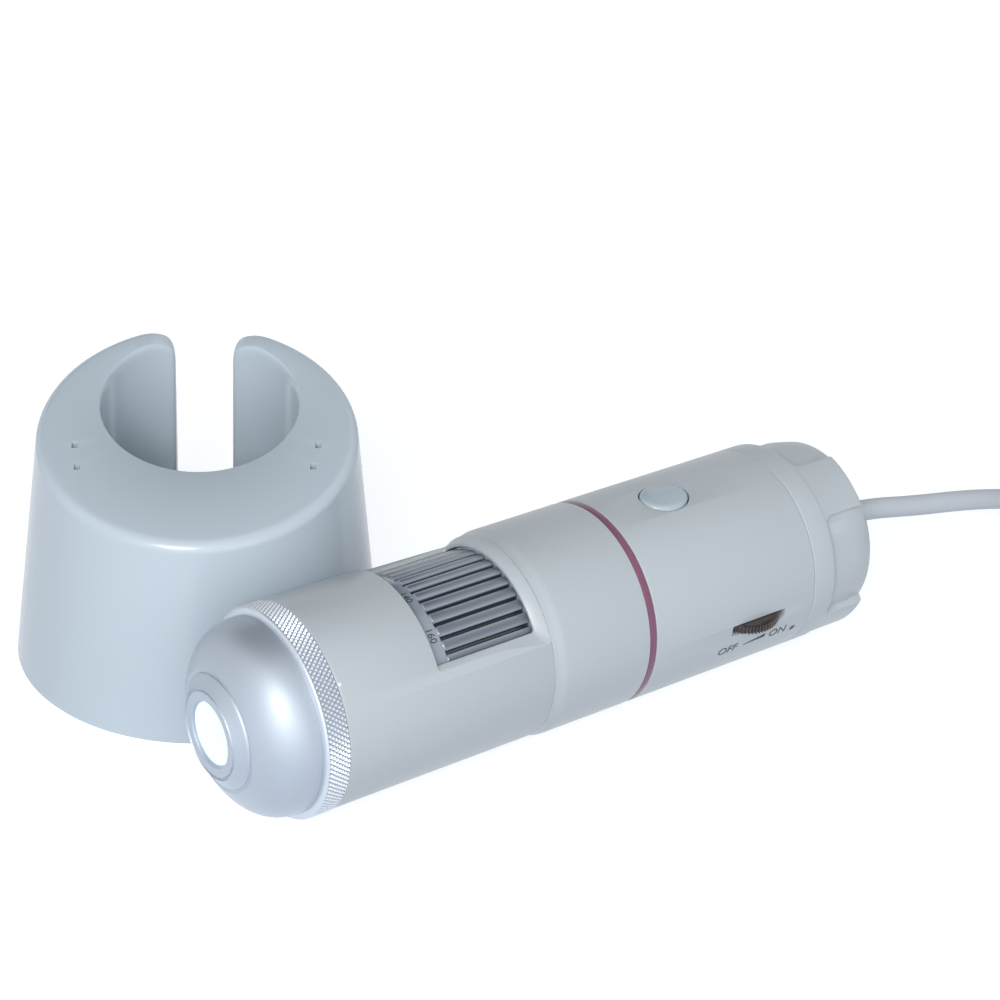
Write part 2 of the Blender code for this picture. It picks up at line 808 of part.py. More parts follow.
def build_rear_barrel(materials, barrel):
    start = accent_end + half_gap
    end = cap_start - half_gap
    spigot_start = accent_start - SPIGOT_LENGTH
    inner_start = start + LEDGE_THICKNESS
    profile = [
        (spigot_start, spigot_bore),
        (spigot_start, spigot_radius),
        (start, spigot_radius),
        (start, BODY_RADIUS - EDGE_ROUND / 2),
        (start + EDGE_ROUND / 2, BODY_RADIUS),
        (end - EDGE_ROUND / 2, BODY_RADIUS),
        (end, BODY_RADIUS - EDGE_ROUND / 2),
        (end, barrel_bore),
        (inner_start, barrel_bore),
        (inner_start, spigot_bore),
    ]
    shell = finish_object("rear_barrel", turned(profile, SHELL_SEGMENTS), materials["grey"], barrel)

    hole = []
    for height in (spigot_bore, BODY_RADIUS + CUT_OVERRUN):
        hole.append(oval(BUTTON_HALF_LENGTH + CLEARANCE, BUTTON_HALF_WIDTH + CLEARANCE, height))
    place = (button_station, 0.0, 0.0)
    cut(shell, finish_object("button_hole_tool", stacked(hole), None, barrel, place))

    wall_line = BODY_RADIUS - DIAL_WALL_LEFT
    chord = math.sqrt(DIAL_RADIUS ** 2 - (wall_line - dial_offset) ** 2) + CLEARANCE
    reach = math.sqrt(DIAL_RADIUS ** 2 - (spigot_bore - dial_offset) ** 2) + 2 * CLEARANCE
    low = dial_low - CLEARANCE
    high = DIAL_TOP + CLEARANCE
    outside = -BODY_RADIUS - CUT_OVERRUN
    slot = box((dial_station - chord, outside, low), (dial_station + chord, -spigot_bore, high))
    cut(shell, finish_object("dial_slot_tool", slot, None, barrel))
    pocket = box(
        (dial_station - reach, -wall_line, low - CLEARANCE),
        (dial_station + reach, -spigot_bore, high + CLEARANCE),
    )
    cut(shell, finish_object("dial_pocket_tool", pocket, None, barrel))


def oval(half_length, half_width, height):
    """A loop of points on an ellipse at one height."""
    points = []
    for i in range(BUTTON_SEGMENTS):
        turn = math.tau * i / BUTTON_SEGMENTS
        points.append((half_length * math.cos(turn), half_width * math.sin(turn), height))
    return points


def build_rear_cap(materials, barrel):
    start = cap_start + half_gap
    band_end = cap_start + CAP_BAND
    lobe_end = band_end + CAP_LOBE_LENGTH
    floor = BODY_RADIUS - CAP_POCKET_DEPTH
    dome_radius = floor - CAP_POCKET_FALL
    lobe_radius = BODY_RADIUS - CAP_LOBE_DROP
    inner_end = cap_end - CAP_END_WALL
    spigot_start = cap_start - SPIGOT_LENGTH
    gland_bore = GLAND_NECK_RADIUS + CLEARANCE
    profile = [
        (spigot_start, spigot_bore),
        (spigot_start, spigot_radius),
        (start, spigot_radius),
        (start, BODY_RADIUS - EDGE_ROUND / 2),
        (start + EDGE_ROUND / 2, BODY_RADIUS),
        (band_end - EDGE_ROUND, BODY_RADIUS),
        (band_end, lobe_radius),
        (lobe_end - CAP_LOBE_ROUND, lobe_radius),
        (lobe_end, lobe_radius - CAP_LOBE_ROUND),
    ]
    for i in range(CAP_DOME_STEPS + 1):
        angle = math.radians(90.0) * i / CAP_DOME_STEPS
        station = lobe_end + (cap_end - lobe_end) * math.sin(angle)
        profile.append((station, CAP_END_RADIUS + (dome_radius - CAP_END_RADIUS) * math.cos(angle)))
    profile += [
        (cap_end, gland_bore),
        (inner_end, gland_bore),
        (inner_end, CAP_END_RADIUS - BARREL_WALL),
        (lobe_end - CAP_END_WALL, spigot_bore),
    ]
    cap = finish_object("rear_cap", turned(profile, SHELL_SEGMENTS), materials["grey"], barrel)

    pitch = 360.0 / CAP_LOBES
    outer = BODY_RADIUS + CUT_OVERRUN
    end = cap_end + CUT_OVERRUN
    bend = band_end + CAP_LOBE_LENGTH * 2 / 3

    def sloping_floor(bm, half_arc):
        every = list(bm.verts) + list(bm.edges) + list(bm.faces)
        bmesh.ops.bisect_plane(bm, geom=every, plane_co=(bend, 0.0, 0.0), plane_no=(1.0, 0.0, 0.0))
        for vert in bm.verts:
            if vert.co.z < floor + MERGE_DISTANCE and vert.co.x > bend:
                vert.co.z -= CAP_POCKET_FALL * (vert.co.x - bend) / (lobe_end - bend)

    for i in range(CAP_LOBES):
        middle = CAP_FIRST_LOBE_ANGLE + pitch * (i + 0.5)
        cutter = wrapped_block(
            band_end,
            end,
            middle,
            pitch - CAP_LOBE_SPAN,
            floor,
            outer,
            CAP_POCKET_CORNER,
            CAP_POCKET_SLICES,
            sloping_floor,
        )
        cut(cap, finish_object(f"cap_pocket_tool_{i + 1}", cutter, None, barrel))


def build_gland(materials, barrel):
    inner_end = cap_end - CAP_END_WALL - CLEARANCE
    profile = [
        (inner_end - GLAND_FLANGE_THICKNESS, 0.0),
        (inner_end - GLAND_FLANGE_THICKNESS, GLAND_FLANGE_RADIUS),
        (inner_end, GLAND_FLANGE_RADIUS),
        (inner_end, GLAND_NECK_RADIUS),
        (cap_end, GLAND_NECK_RADIUS),
        (gland_end - EDGE_ROUND, GLAND_TIP_RADIUS),
        (gland_end, GLAND_TIP_RADIUS - EDGE_ROUND),
        (gland_end, 0.0),
    ]
    finish_object("cable_gland", turned(profile, SMALL_SEGMENTS), materials["cord"], barrel)


# Focus wheel, guide tube and lens carriage

def build_focus_wheel(materials, barrel):
    smooth = []
    ribbed = []
    for i in range(WHEEL_RIBS):
        base = i / WHEEL_RIBS
        land = RIB_LAND_SHARE / WHEEL_RIBS
        flank = RIB_FLANK_SHARE / WHEEL_RIBS
        places = (base, base + land, base + land + flank, base + 1 / WHEEL_RIBS - flank)
        radii = (wheel_radius, wheel_radius, wheel_root, wheel_root)
        for place, radius in zip(places, radii):
            smooth.append((360.0 * place, wheel_radius))
            ribbed.append((360.0 * place, radius))
    ribs_start = wheel_start + WHEEL_FLANGE_WIDTH
    rows = (
        (wheel_start, smooth, WHEEL_END_SHRINK / 2),
        (ribs_start - WHEEL_END_SHRINK, smooth, 0.0),
        (ribs_start, ribbed, 0.0),
        (wheel_end, ribbed, 0.0),
    )
    loops = []
    for station, outline, shrink in rows:
        loops.append([on_barrel(station, angle, radius - shrink) for angle, radius in outline])
    wheel = finish_object("focus_wheel", stacked(loops), materials["wheel"], barrel)

    bore = [
        (wheel_start - CUT_OVERRUN, 0.0),
        (wheel_start - CUT_OVERRUN, wheel_bore),
        (cam_start, wheel_bore),
        (cam_start, cam_radius),
        (cam_end, cam_radius),
        (cam_end, wheel_bore),
        (wheel_end + CUT_OVERRUN, wheel_bore),
        (wheel_end + CUT_OVERRUN, 0.0),
    ]
    cut(wheel, finish_object("wheel_bore_tool", turned(bore, INNER_SEGMENTS), None, barrel))


def build_guide_tube(materials, barrel):
    ledge_end = front_end + half_gap + LEDGE_THICKNESS
    flange_start = ledge_end + CLEARANCE
    flange_end = flange_start + GUIDE_FLANGE_THICKNESS
    profile = [
        (guide_front, guide_bore),
        (guide_front, guide_radius),
        (flange_start, guide_radius),
        (flange_start, spigot_radius),
        (flange_end, spigot_radius),
        (flange_end, guide_radius),
        (guide_rear, guide_radius),
        (guide_rear, guide_bore),
    ]
    guide = finish_object("guide_tube", turned(profile, INNER_SEGMENTS), materials["dark"], barrel)

    half_width = LUG_RADIUS + CLEARANCE
    reach = LENS_TRAVEL + LUG_RADIUS + CLEARANCE
    side = guide_radius + CUT_OVERRUN
    slots = box((lug_station - reach, -side, -half_width), (lug_station + reach, side, half_width))
    cut(guide, finish_object("guide_slot_tool", slots, None, barrel))


def build_lens_carriage(materials, barrel):
    seat = lens_barrel_front + OBJECTIVE_DEPTH + OBJECTIVE_THICKNESS + CLEARANCE
    seat_bore = lens_barrel_bore - LENS_SEAT_WALL
    rear_pocket = lens_barrel_rear - REAR_LENS_INSET
    rear_seat = rear_pocket - REAR_LENS_THICKNESS - CLEARANCE
    rear_bore = rear_lens_radius + CLEARANCE
    stop_bore = rear_lens_radius - LENS_STOP_WALL
    profile = [
        (lens_barrel_front, lens_barrel_bore),
        (lens_barrel_front, lens_barrel_radius - EDGE_ROUND),
        (lens_barrel_front + EDGE_ROUND, lens_barrel_radius),
        (lens_barrel_rear, lens_barrel_radius),
        (lens_barrel_rear, rear_bore),
        (rear_seat, rear_bore),
        (rear_seat, stop_bore),
        (rear_seat - LENS_STOP_WALL, stop_bore),
        (rear_seat - LENS_STOP_WALL, seat_bore),
        (seat, seat_bore),
        (seat, lens_barrel_bore),
    ]
    housing = finish_object("lens_barrel", turned(profile, INNER_SEGMENTS), materials["black"], barrel)
    lug_tip = cam_radius - LUG_TIP_CLEARANCE
    lug_root = (lens_barrel_radius + rear_bore) / 2
    for number, (near, far) in enumerate(((-lug_tip, -lug_root), (lug_root, lug_tip))):
        lug = cylinder(LUG_RADIUS, near, far, SMALL_SEGMENTS // 2, "Y")
        tool = finish_object(f"lug_tool_{number + 1}", lug, None, barrel, (lug_station, 0.0, 0.0))
        join(housing, tool)

    glass = lens_barrel_bore - CLEARANCE
    front = lens_barrel_front + OBJECTIVE_DEPTH
    back = front + OBJECTIVE_THICKNESS
    objective = [(front - OBJECTIVE_CROWN, 0.0)]
    objective += crown(front, -OBJECTIVE_CROWN, glass - RETAINER_WALL)
    objective += [(front, glass), (back, glass), (back, 0.0)]
    finish_object("objective_lens", turned(objective, INNER_SEGMENTS), materials["glass"], barrel)

    ring_end = front - CLEARANCE
    retainer = [
        (ring_end - RETAINER_THICKNESS, glass - RETAINER_WALL + CLEARANCE),
        (ring_end - RETAINER_THICKNESS, glass),
        (ring_end, glass),
        (ring_end, glass - RETAINER_WALL + CLEARANCE),
    ]
    finish_object("lens_retainer", turned(retainer, INNER_SEGMENTS), materials["brass"], barrel)

    back = rear_pocket
    front = back - REAR_LENS_THICKNESS
    rear = [(front, 0.0), (front, rear_lens_radius), (back, rear_lens_radius)]
    rear += reversed(crown(back, REAR_LENS_CROWN, rear_lens_radius - EDGE_ROUND))
    rear.append((back + REAR_LENS_CROWN, 0.0))
    finish_object("rear_lens", turned(rear, SMALL_SEGMENTS), materials["glass"], barrel)


def crown(base, height, radius):
    """Profile points of a shallow lens crown, from near the axis to its edge."""
    points = []
    for share in LENS_CROWN_SHARES:
        points.append((base + height * (1 - share ** 2), radius * share))
    return points


# Sensor and main electronics

def build_sensor(materials, barrel):
    board_front = guide_rear + CLEARANCE
    board_back = board_front + SENSOR_BOARD_THICKNESS
    board = [
        (board_front, 0.0),
        (board_front, guide_radius),
        (board_back, guide_radius),
        (board_back, 0.0),
    ]
    finish_object("sensor_board", turned(board, INNER_SEGMENTS), materials["board"], barrel)
    half = SENSOR_SIZE / 2
    chip_back = board_front - CLEARANCE
    chip_front = chip_back - SENSOR_HEIGHT
    chip = box((chip_front, -half, -half), (chip_back, half, half))
    face = min(chip.faces, key=lambda item: item.calc_center_median().x)
    bmesh.ops.inset_individual(chip, faces=[face], thickness=SENSOR_GLASS_INSET)
    bmesh.ops.translate(chip, verts=face.verts, vec=(SENSOR_GLASS_STEP, 0.0, 0.0))
    finish_object("image_sensor", chip, materials["black"], barrel)

    low = Vector((board_back + CLEARANCE, 0.0, 0.0))
    high = Vector((board_start - CLEARANCE, 0.0, BOARD_PLANE + BOARD_THICKNESS / 2))
    line = []
    for i in range(RIBBON_STEPS + 1):
        share = i / RIBBON_STEPS
        ease = share * share * (3 - 2 * share)
        sag = RIBBON_LOOP * math.sin(math.pi * share) ** 2
        line.append((low.x + (high.x - low.x) * share, high.z * ease - sag))
    outline = [(x, z) for x, z in line]
    outline += [(x, z + RIBBON_THICKNESS) for x, z in reversed(line)]
    loops = []
    for side in (-RIBBON_WIDTH / 2, RIBBON_WIDTH / 2):
        loops.append([(x, side, z) for x, z in outline])
    finish_object("sensor_ribbon", stacked(loops), materials["copper"], barrel)


def build_board(materials, barrel):
    low = (board_start, -board_half_width, BOARD_PLANE)
    high = (board_end, board_half_width, board_top)
    board_mesh = box(low, high)
    corners = []
    for edge in board_mesh.edges:
        span = edge.verts[0].co - edge.verts[1].co
        if abs(span.z) > BOARD_THICKNESS / 2:
            corners.append(edge)
    bmesh.ops.bevel(
        board_mesh, geom=corners, offset=BOARD_CORNER, segments=3, profile=0.5, affect="EDGES"
    )
    board = finish_object("main_board", board_mesh, materials["board"], barrel)
    chip_station = board_start + (board_end - board_start) * CHIP_STATION_SHARE
    half = CHIP_LENGTH / 2
    chip = box(
        (chip_station - half, -half, BOARD_PLANE + BOARD_THICKNESS / 2),
        (chip_station + half, half, board_top + CHIP_HEIGHT),
    )
    join(board, finish_object("chip_tool", chip, None, barrel))

    carrier_bore = carrier_radius - CARRIER_WALL
    carrier_start = accent_end + half_gap + LEDGE_THICKNESS + CLEARANCE
    profile = [
        (carrier_start, carrier_bore),
        (carrier_start, carrier_radius),
        (board_end, carrier_radius),
        (board_end, carrier_bore),
    ]
    carrier = finish_object("board_carrier", turned(profile, INNER_SEGMENTS), materials["dark"], barrel)
    side = carrier_radius + CUT_OVERRUN
    above = box(
        (carrier_start - CUT_OVERRUN, -side, BOARD_PLANE - CLEARANCE),
        (board_end + CUT_OVERRUN, side, side),
    )
    cut(carrier, finish_object("carrier_top_tool", above, None, barrel))
    gap = DIAL_RADIUS + 2 * CLEARANCE
    room = box(
        (dial_station - gap, -side, dial_low - CLEARANCE * 2),
        (board_end + CUT_OVERRUN, -carrier_bore / 2, BOARD_PLANE),
    )
    cut(carrier, finish_object("carrier_dial_tool", room, None, barrel))


def build_switch_and_pot(materials, barrel):
    base = board_top + CLEARANCE
    top = base + SWITCH_HEIGHT
    half = SWITCH_SIZE / 2
    place = (button_station, 0.0, 0.0)
    body = box((-half, -half, base), (half, half, top), SWITCH_BEVEL, 1)
    switch = finish_object("tact_switch", body, materials["black"], barrel, place)
    plunger = cylinder(
        SWITCH_PLUNGER_RADIUS, top - SWITCH_HEIGHT / 2, top + SWITCH_PLUNGER_HEIGHT, SMALL_SEGMENTS // 2
    )
    join(switch, finish_object("plunger_tool", plunger, None, barrel, place))

    high = BOARD_PLANE - CLEARANCE
    low = high - POT_HEIGHT
    half = POT_SIZE / 2
    place = (dial_station, -dial_offset, 0.0)
    pot = box((-half, -half, low), (half, half, high), POT_BEVEL, 1)
    pot = finish_object("dimmer_pot", pot, materials["black"], barrel, place)
    bore_top = DIAL_TOP + DIAL_SHAFT_LENGTH + CLEARANCE
    bore = cylinder(DIAL_SHAFT_RADIUS + CLEARANCE, low - CUT_OVERRUN, bore_top, SMALL_SEGMENTS // 2)
    cut(pot, finish_object("pot_bore_tool", bore, None, barrel, place))


def build_button(materials, barrel):
    rim = math.sqrt(BODY_RADIUS ** 2 - BUTTON_HALF_WIDTH ** 2) + BUTTON_RIM_PROUD
    crown_height = BODY_RADIUS + BUTTON_CROWN
    flange_top = math.sqrt(barrel_bore ** 2 - (BUTTON_HALF_WIDTH + BUTTON_FLANGE) ** 2) - CLEARANCE
    flange_low = flange_top - BUTTON_FLANGE_THICKNESS
    stem_low = board_top + 2 * CLEARANCE + SWITCH_HEIGHT + SWITCH_PLUNGER_HEIGHT + BUTTON_TRAVEL
    wide = BUTTON_HALF_LENGTH + BUTTON_FLANGE
    deep = BUTTON_HALF_WIDTH + BUTTON_FLANGE
    loops = [
        oval(BUTTON_STEM_RADIUS, BUTTON_STEM_RADIUS, stem_low),
        oval(BUTTON_STEM_RADIUS, BUTTON_STEM_RADIUS, flange_low),
        oval(wide, deep, flange_low),
        oval(wide, deep, flange_top),
        oval(BUTTON_HALF_LENGTH, BUTTON_HALF_WIDTH, flange_top),
        oval(BUTTON_HALF_LENGTH, BUTTON_HALF_WIDTH, rim),
    ]
    for rise_share, width_share in BUTTON_CROWN_SHARES:
        height = rim + (crown_height - rim) * rise_share
        loops.append(oval(BUTTON_HALF_LENGTH * width_share, BUTTON_HALF_WIDTH * width_share, height))
    place = (button_station, 0.0, 0.0)
    finish_object("snapshot_button", stacked(loops), materials["grey"], barrel, place)


def build_dial(materials, barrel):
    def toothed(radius, height):
        points = []
        for i in range(DIAL_TEETH):
            for share, drop in ((0.0, 0.0), (DIAL_TOOTH_SHARE, DIAL_TOOTH_DEPTH)):
                turn = math.tau * (i + share) / DIAL_TEETH
                reach = radius - drop
                points.append((reach * math.cos(turn), reach * math.sin(turn), height))
        return points

    def round_loop(radius, height):
        points = []
        for i in range(DIAL_TEETH):
            for share in (0.0, DIAL_TOOTH_SHARE):
                turn = math.tau * (i + share) / DIAL_TEETH
                points.append((radius * math.cos(turn), radius * math.sin(turn), height))
        return points

    hub_top = DIAL_TOP + DIAL_HUB_HEIGHT / 2
    loops = [
        toothed(DIAL_RADIUS, dial_low),
        toothed(DIAL_RADIUS, DIAL_TOP - DIAL_RIM_BEVEL),
        toothed(DIAL_RADIUS - DIAL_RIM_BEVEL, DIAL_TOP),
        round_loop(DIAL_HUB_RADIUS, DIAL_TOP),
        round_loop(DIAL_HUB_RADIUS, hub_top),
        round_loop(DIAL_SHAFT_RADIUS, hub_top),
        round_loop(DIAL_SHAFT_RADIUS, DIAL_TOP + DIAL_SHAFT_LENGTH),
    ]
    place = (dial_station, -dial_offset, 0.0)
    finish_object("led_dial", stacked(loops), materials["black"], barrel, place)


# Stand

def stand_outer(angle, height):
    """Radius of the outer cone where it meets the slanted plane at one height."""
    rise = STAND_TAPER * STAND_SLANT * math.sin(angle)
    return (stand_base_radius - STAND_TAPER * height) / (1 + rise)


def corner_points(centre, radii, start, end):
    """Points of a rounded corner whose radius may change from one end to the other."""
    points = []
    for i in range(STAND_CORNER_STEPS + 1):
        share = i / STAND_CORNER_STEPS
        turn = start + (end - start) * share
        radius = radii[0] + (radii[1] - radii[0]) * share
        points.append(centre + radius * Vector((math.cos(turn), math.sin(turn))))
    return points


def crowded(share):
    """Move the steps of an open outline nearer to its two ends."""
    return share - STAND_END_CROWDING_SHARE * math.sin(math.tau * share) / math.tau


def horn_drop(point, half):
    """How far the top sinks beside the slot, where each horn is rounded over."""
    near = half + STAND_HORN_TOP_ROUND - abs(point.x)
    if point.y < 0 or near <= 0:
        return 0.0
    near = min(near, STAND_HORN_TOP_ROUND)
    return STAND_HORN_TOP_ROUND - math.sqrt(STAND_HORN_TOP_ROUND ** 2 - near ** 2)


def stand_outline(height, wall, inset, half, outer_round, inner_round, slanted):
    """The C-shaped outline at one height, with its slot open towards +Y.

    wall moves the outside and the bore towards each other. inset then draws the edges
    in while the corner centres stay, the bore and the slot by a smaller share. It runs
    round the outside from the right horn to the left one, along the slot and round the
    bore.
    """
    quarter = math.radians(90.0)
    back = stand_outer(quarter, height) if slanted else stand_base_radius - STAND_TAPER * height
    inner_inset = inset * STAND_INNER_EDGE_SHARE
    reach = back - wall - outer_round
    horn = Vector((half + outer_round, math.sqrt(reach ** 2 - (half + outer_round) ** 2)))
    tip_angle = math.atan2(horn.y, horn.x)
    reach = stand_bore_radius + wall + inner_round
    rise = math.sqrt(reach ** 2 - (half + inner_round) ** 2)
    heel = Vector((half + inner_round, STAND_BORE_OFFSET + rise))
    heel_angle = math.atan2(rise, heel.x)
    left_horn = Vector((-horn.x, horn.y))
    left_heel = Vector((-heel.x, heel.y))
    bore_centre = Vector((0.0, STAND_BORE_OFFSET))
    bore = stand_bore_radius + wall + inner_inset
    tip_draw = (outer_round - inset, outer_round - inner_inset)
    heel_draw = (inner_round - inner_inset, inner_round - inner_inset)

    points = []
    sweep = 2 * (quarter - tip_angle) - math.tau
    for i in range(STAND_OUTER_STEPS + 1):
        angle = tip_angle + sweep * crowded(i / STAND_OUTER_STEPS)
        radius = back
        if slanted:
            radius = stand_outer(angle, height)
        radius -= wall + inset
        points.append(radius * Vector((math.cos(angle), math.sin(angle))))
    points += corner_points(left_horn, tip_draw, math.pi - tip_angle, 0.0)[1:]
    points += corner_points(left_heel, heel_draw, 0.0, -heel_angle)
    for i in range(1, STAND_BORE_STEPS):
        share = crowded(i / STAND_BORE_STEPS)
        angle = math.pi - heel_angle + (math.pi + 2 * heel_angle) * share
        points.append(bore_centre + bore * Vector((math.cos(angle), math.sin(angle))))
    points += corner_points(heel, heel_draw, heel_angle - math.pi, -math.pi)
    points += corner_points(horn, tip_draw[::-1], math.pi, tip_angle)[:-1]
    return points


def build_stand(materials, stand):
    slot_half = STAND_SLOT_WIDTH / 2
    loops = []

    def add_level(height, drop, slanted, outline, rounded=False):
        loop = []
        for point in outline:
            level = height - drop
            if slanted:
                level += STAND_SLANT * point.y
            if rounded:
                level -= horn_drop(point, slot_half)
            loop.append((point.x, point.y, level))
        loops.append(loop)

    def pocket_level(height, slanted):
        corner = STAND_POCKET_ROUND
        outline = stand_outline(
            height, STAND_WALL, 0.0, STAND_POCKET_HALF_WIDTH, corner, corner, slanted
        )
        add_level(height, 0.0, slanted, outline)

    def shell_level(height, inset, drop, slanted):
        outline = stand_outline(
            height, 0.0, inset, slot_half, STAND_HORN_OUTER_ROUND, STAND_HORN_INNER_ROUND, slanted
        )
        add_level(height, drop, slanted, outline, slanted)

    pocket_level(STAND_HEIGHT - STAND_TOP_WALL, True)
    pocket_level(0.0, False)
    shell_level(0.0, STAND_FOOT_CHAMFER, 0.0, False)
    shell_level(STAND_FOOT_CHAMFER, 0.0, 0.0, False)
    for i in range(STAND_ROUND_STEPS + 1):
        turn = math.radians(90.0) * i / STAND_ROUND_STEPS
        inset = STAND_EDGE_ROUND * (1 - math.cos(turn))
        drop = STAND_EDGE_ROUND * (1 - math.sin(turn))
        shell_level(STAND_HEIGHT, inset, drop, True)
    solid = stacked(loops)
    solid.faces.ensure_lookup_table()
    bmesh.ops.triangulate(solid, faces=solid.faces[:2])
    shell = finish_object("stand_shell", solid, materials["stand"], stand)

    for side in (-1, 1):
        for row in range(2):
            x = side * vent_side
            y = -VENT_FRONT + row * VENT_PITCH
            half = VENT_SIZE / 2
            top = STAND_HEIGHT + STAND_SLANT * y + CUT_OVERRUN
            low = STAND_HEIGHT + STAND_SLANT * y - STAND_TOP_WALL - CUT_OVERRUN
            hole = box((x - half, y - half, low), (x + half, y + half, top))
            cut(shell, finish_object(f"vent_tool_{side}_{row}", hole, None, stand))


# Lead, coil, tie and plug

cord_start = gland_end + CLEARANCE
coil_start = cord_start + CORD_DROP_POINTS[-1][0] + CLEARANCE
coil_x = coil_start + CORD_DIAMETER
coil_y = -coil_outer_radius


def coil_line():
    """Centre line of the coil, and of the tail that lies over it to the plug."""
    points = [Vector((coil_start, 0.0, coil_base))]
    layer_turns = COIL_TURNS_PER_LAYER
    total = COIL_LAYERS * layer_turns
    steps = round(total * COIL_POINTS_PER_TURN)
    half_climb = COIL_CLIMB_TURNS / 2
    rise = plug_plane - coil_top
    for i in range(steps + 1):
        t = total * i / steps
        layer = min(int(t / layer_turns), COIL_LAYERS - 1)
        along = t - layer * layer_turns
        inward = along if layer % 2 == 0 else layer_turns - along
        radius = coil_outer_radius - inward * turn_pitch
        height = coil_base
        for k in range(1, COIL_LAYERS):
            climb = (t - k * layer_turns + half_climb) / COIL_CLIMB_TURNS
            height += turn_pitch * min(max(climb, 0.0), 1.0)
        early = (t - total + half_climb) / half_climb
        height += rise * TAIL_EARLY_RISE_SHARE * min(max(early, 0.0), 1.0) ** 2
        angle = math.radians(90.0) - math.tau * t
        points.append(Vector((coil_x + radius * math.cos(angle), coil_y + radius * math.sin(angle), height)))

    heading = angle - math.radians(90.0)
    start = points[-1]
    inward = heading - math.radians(90.0)
    hub = start + TAIL_BEND_RADIUS * Vector((math.cos(inward), math.sin(inward), 0.0))
    low = start.z
    for i in range(1, TAIL_BEND_STEPS + 1):
        turn = math.radians(TAIL_BEND_ANGLE) * i / TAIL_BEND_STEPS
        away = inward + math.pi - turn
        spot = hub + TAIL_BEND_RADIUS * Vector((math.cos(away), math.sin(away), 0.0))
        share = min(i / TAIL_BEND_STEPS / TAIL_RISE_SHARE, 1.0)
        spot.z = low + (plug_plane - low) * math.sin(math.radians(90.0) * share)
        points.append(spot)
    heading -= math.radians(TAIL_BEND_ANGLE)
    along = Vector((math.cos(heading), math.sin(heading), 0.0))
    points.append(points[-1] + along * TAIL_STRAIGHT)
    return points, heading


def least_gap(points):
    """The least distance from the tube's wall to another stretch of the same tube."""
    least = math.inf
    places = [0.0]
    for a, b in zip(points, points[1:]):
        places.append(places[-1] + (b - a).length)
    for i, a in enumerate(points):
        for j in range(i + 1, len(points)):
            if places[j] - places[i] < COIL_INNER_RADIUS * math.pi:
                continue
            least = min(least, (points[j] - a).length)
    return least - CORD_DIAMETER


def build_lead(materials, table):
    route = [Vector((cord_start + x, 0.0, z)) for x, z in CORD_DROP_POINTS]
    free = smooth_line(route, CORD_SAMPLES)
    tube("cable", free, materials["cord"], table, 2)
    points, heading = coil_line()
    tube("cable_coil", points, materials["cord"], table, 1)
    print("least gap of the coil to itself, mm:", round(1000 * least_gap(points), 3))
    print("length of the lead, m:", round(line_length(free) + line_length(points), 4))

    inner = COIL_INNER_RADIUS - cord_radius - TIE_INNER_CLEARANCE
    outer = coil_outer_radius + cord_radius + CLEARANCE
    low = TIE_THICKNESS
    high = coil_top + cord_radius + CLEARANCE
    middle = Vector(((inner + outer) / 2, (low + high) / 2))
    loops = []
    for grow, side in ((0, -1), (0, 1), (1, 1), (1, -1)):
        width = outer - inner + 2 * grow * TIE_THICKNESS
        height = high - low + 2 * grow * TIE_THICKNESS
        corner = TIE_CORNER + grow * TIE_THICKNESS
        loop = []
        for point in rounded_rectangle(width, height, corner, TIE_CORNER_STEPS):
            loop.append((middle.x + point.x, side * TIE_WIDTH / 2, middle.y + point.y))
        loops.append(loop)
    hub = make_empty("coil_hub", (coil_x, coil_y, 0.0), table, TIE_ANGLE)
    finish_object("cable_tie", stacked(loops, True), materials["dark"], hub)
    build_plug(materials, table, points[-1], heading)


